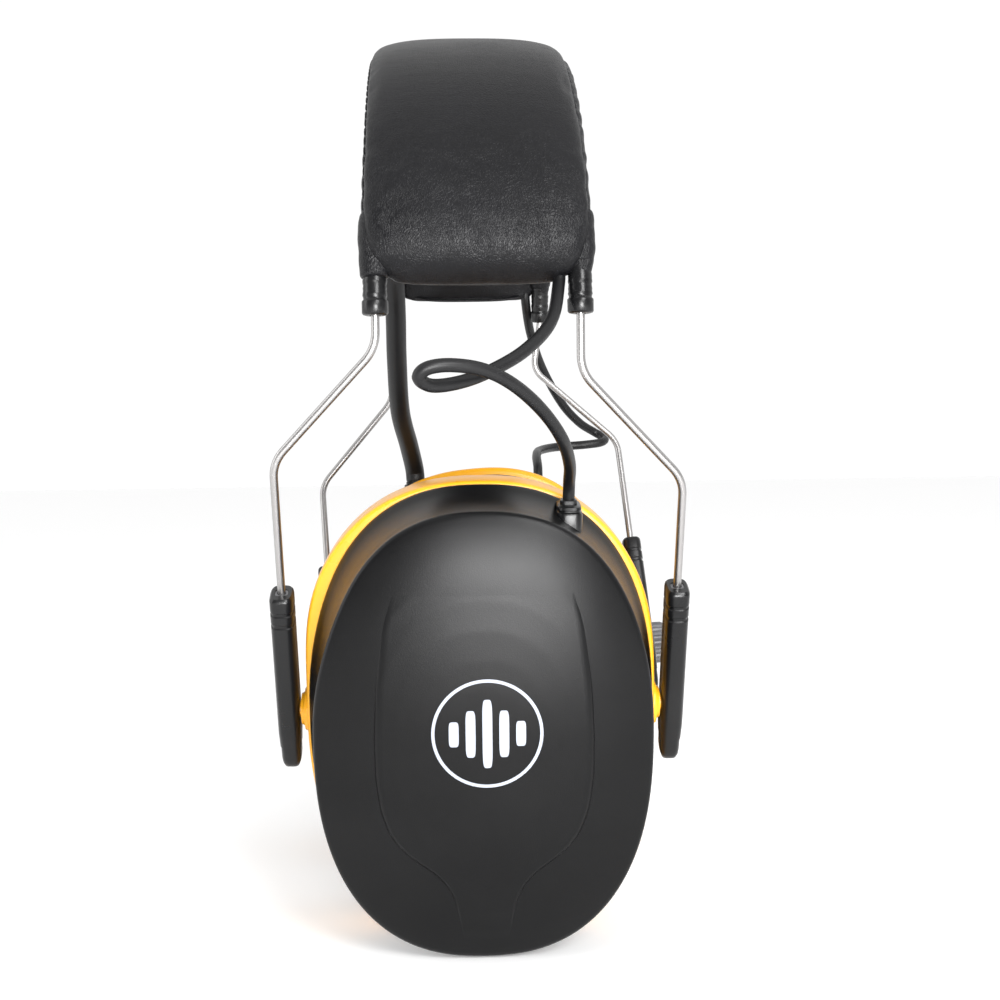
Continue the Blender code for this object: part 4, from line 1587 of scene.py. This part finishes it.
@dataclass
class RadioFittings:
    """The volume knob and the antenna of the right cup (mm)."""

    knob_radius: float = 6.7
    knob_from: float = 44.5
    knob_to: float = 58.0
    knob_out: float = 18.0
    knob_height: float = -1.0
    whip_radius: float = 3.0
    bent_by: int = 14
    whip: tuple[tuple[float, float, float], ...] = (
        (-18.0, 61.8, -110.4), (-18.4, 61.0, -106.2), (-19.8, 53.5, -99), (-22, 40.5, -88.3),
        (-22.3, 26, -73.3), (-22.1, 17, -62), (-22.2, 11, -52.5), (-22.5, 8.5, -46.5),
    )

    def knob(self) -> None:
        """The fluted dial with its index groove and its stem."""
        r, low, high = self.knob_radius, self.knob_from, self.knob_to
        profile = [
            (1.8, 36.0), (1.8, low), (r - 1.0, low), (r - 0.3, low + 0.25), (r, low + 0.9),
            (r, low + 2.0), (r, high - 3.0), (r - 0.1, high - 1.0), (r - 0.5, high - 0.35),
            (r - 1.2, high), (r - 1.7, high), (r - 1.9, high - 0.35), (1.0, high - 0.45),
        ]
        piece = loft("volume_dial", lathe_rings(profile), 144, fluted(24, 0.075), end=Cap.POINT)
        mark = block("mark", (3.4, 0.7, 0.6), (r - 2.9, 0.0, high - 0.35), 0.12)
        piece = join([piece, mark])
        frame = LINE.cup_frame(Side.RIGHT)
        turn = Matrix.Rotation(math.pi / 2.0, 4, "Y")
        centre = Matrix.Translation((0.0, self.knob_height, self.knob_out))
        piece.data.transform(centre @ turn)
        place(piece, frame)
        dress(piece, KNOB_GREY, "volume_knob", ["volume_knob"], 30.0)

    def antenna(self) -> None:
        """The flexible matt whip, bending where it leaves its socket."""
        path = smooth_route([Vector(point) * MM for point in self.whip], SPAN_STEPS)
        piece = tube("antenna_rod", path, self.whip_radius * MM, 7)
        apply_modifier(piece, "BEVEL", width=0.9 * MM, segments=4, limit_method="ANGLE")
        span = ("right_cup", "antenna", path[0], path[self.bent_by])
        dress(piece, JACKET_BLACK, span, ["antenna_whip"], 45.0)

    def build(self, cup: Cup) -> None:
        """Make both fittings.

        Args:
            cup: the right cup, which holds the antenna's socket.
        """
        self.knob()
        cup.relief("antenna_grommet", "antenna_socket", -18.3, 57.5, (8.4, 9.0, 9.0), 2.6)
        self.antenna()


# --- the frame's own nodes --------------------------------------------------------------------


def dress_nodes(frame: dict) -> None:
    """Give the inner parts that keep their own meshes a finish.

    Args:
        frame: the loaded frame.
    """
    finishes = {
        "foam": FOAM_GREY, "plate": RING_BLACK, "wire": SPRING_STEEL, "screw": SCREW_STEEL,
        "lead": JACKET_BLACK, "bush": KNOB_GREY, "speaker": RING_BLACK, "battery": CELL_SILVER,
        "board": BOARD_GREEN, "control": RING_BLACK,
    }
    for name, node in frame["nodes"].items():
        if node.hide_render:
            continue
        finish = next((f for word, f in finishes.items() if word in name), RING_BLACK)
        node.data.materials.clear()
        node.data.materials.append(finish.build())
        LOG.info("%s keeps its mesh, in %s", name, finish.name)


# --- studio -----------------------------------------------------------------------------------


@dataclass(frozen=True)
class Studio:
    """Floor, lights and camera."""

    lens: float = 53.3
    eye: tuple[float, float, float] = (-7.9, -420.6, -98.2)
    yaw: float = 2.05
    pitch: float = -2.26
    roll: float = -0.81

    def camera(self) -> None:
        """The camera in front of the left cup."""
        data = bpy.data.cameras.new("camera")
        data.lens, data.sensor_width = self.lens, 36.0
        data.clip_start = 0.01
        yaw, pitch, roll = (math.radians(a) for a in (self.yaw, self.pitch, self.roll))
        ahead = Vector((math.sin(yaw) * math.cos(pitch), math.cos(yaw) * math.cos(pitch),
                        math.sin(pitch)))
        across = Vector((math.cos(yaw), -math.sin(yaw), 0.0))
        up = across.cross(ahead)
        right = across * math.cos(roll) + up * math.sin(roll)
        top = up * math.cos(roll) - across * math.sin(roll)
        camera = bpy.data.objects.new("camera", data)
        turn = Matrix((right, top, -ahead)).transposed().to_4x4()
        camera.matrix_world = Matrix.Translation(Vector(self.eye) * MM) @ turn
        bpy.context.collection.objects.link(camera)
        bpy.context.scene.camera = camera

    def softbox(
        self, name: str, spot: Sequence[float], size: Sequence[float], watts: float
    ) -> None:
        """One rectangular light that faces the cups.

        Args:
            name: its name.
            spot: where it stands, in metres.
            size: its width and height.
            watts: its power.
        """
        data = bpy.data.lights.new(name, "AREA")
        data.shape, data.size, data.size_y, data.energy = "RECTANGLE", *size, watts
        light = bpy.data.objects.new(name, data)
        aim = Vector((0.0, 0.0, -0.12)) - Vector(spot)
        turn = aim.to_track_quat("-Z", "Y").to_matrix().to_4x4()
        light.matrix_world = Matrix.Translation(spot) @ turn
        bpy.context.collection.objects.link(light)

    def floor(self, height: float) -> None:
        """A wide pale floor that glows a little, so that it stays pale far off.

        Args:
            height: where it lies.
        """
        deselect()
        bpy.ops.mesh.primitive_plane_add(size=8.0, location=(0.0, 0.0, height))
        plane = bpy.context.object
        plane.name = "studio_floor"
        material = bpy.data.materials.new("pale_floor")
        material.use_nodes = True
        sockets = material.node_tree.nodes["Principled BSDF"].inputs
        for name, value in (
            ("Base Color", (0.93, 0.93, 0.93, 1.0)), ("Roughness", 0.9),
            ("Emission Color", (1.0, 1.0, 1.0, 1.0)), ("Emission Strength", 0.14),
        ):
            sockets[name].default_value = value
        plane.data.materials.append(material)
        plane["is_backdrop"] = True

    def build(self) -> None:
        """Set the camera, the sky and the three softboxes."""
        self.camera()
        self.sky()
        self.softbox("key_box", (0.38, -0.95, 0.40), (0.42, 0.45), 10.0)
        self.softbox("face_box", (0.1, -0.8, -0.13), (0.3, 0.2), 8.0)
        self.softbox("side_box", (-0.9, -0.1, 0.1), (0.4, 0.8), 2.5)

    def sky(self) -> None:
        """A white backdrop, whose light is dimmer on the side in front of the near cup."""
        world = bpy.data.worlds.new("studio")
        world.use_nodes = True
        graph = Graph(world.node_tree)
        toward = graph.add("TexCoord").outputs["Generated"]
        parts = graph.add("SeparateXYZ", {0: toward}).outputs
        upward = graph.maths("MULTIPLY", parts["Z"], 0.9)
        level = graph.add("MapRange", {
            "Value": graph.maths("ADD", parts["Y"], upward),
            "From Min": -0.3, "From Max": 0.3, "To Min": 0.16, "To Max": 1.03,
        }, interpolation_type="SMOOTHSTEP").outputs["Result"]
        seen = graph.add("LightPath").outputs["Is Camera Ray"]
        level = graph.maths("MAXIMUM", level, seen)
        light = graph.add("Background", {"Color": (1.0, 1.0, 1.0, 1.0), "Strength": level})
        out = graph.add("OutputWorld")
        world.node_tree.links.new(light.outputs[0], out.inputs["Surface"])
        bpy.context.scene.world = world
        bpy.context.scene.view_settings.view_transform = "Standard"


def main() -> None:
    """Build the studio, the cords and then every sub-assembly round the frame."""
    logging.basicConfig(level=logging.INFO, format="%(name)s %(message)s")
    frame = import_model()
    studio = Studio()
    studio.build()
    for lead in (LEFT_LEAD, RIGHT_LEAD):
        lead.build()
    Headband().build()
    for side in Side:
        Arm(side).build()
    cups = {side: Cup(side) for side in Side}
    for cup in cups.values():
        cup.build()
    RadioFittings().build(cups[Side.RIGHT])
    dress_nodes(frame)
    studio.floor(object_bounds()[0][2] - 0.0005)


if __name__ == "__main__":
    main()
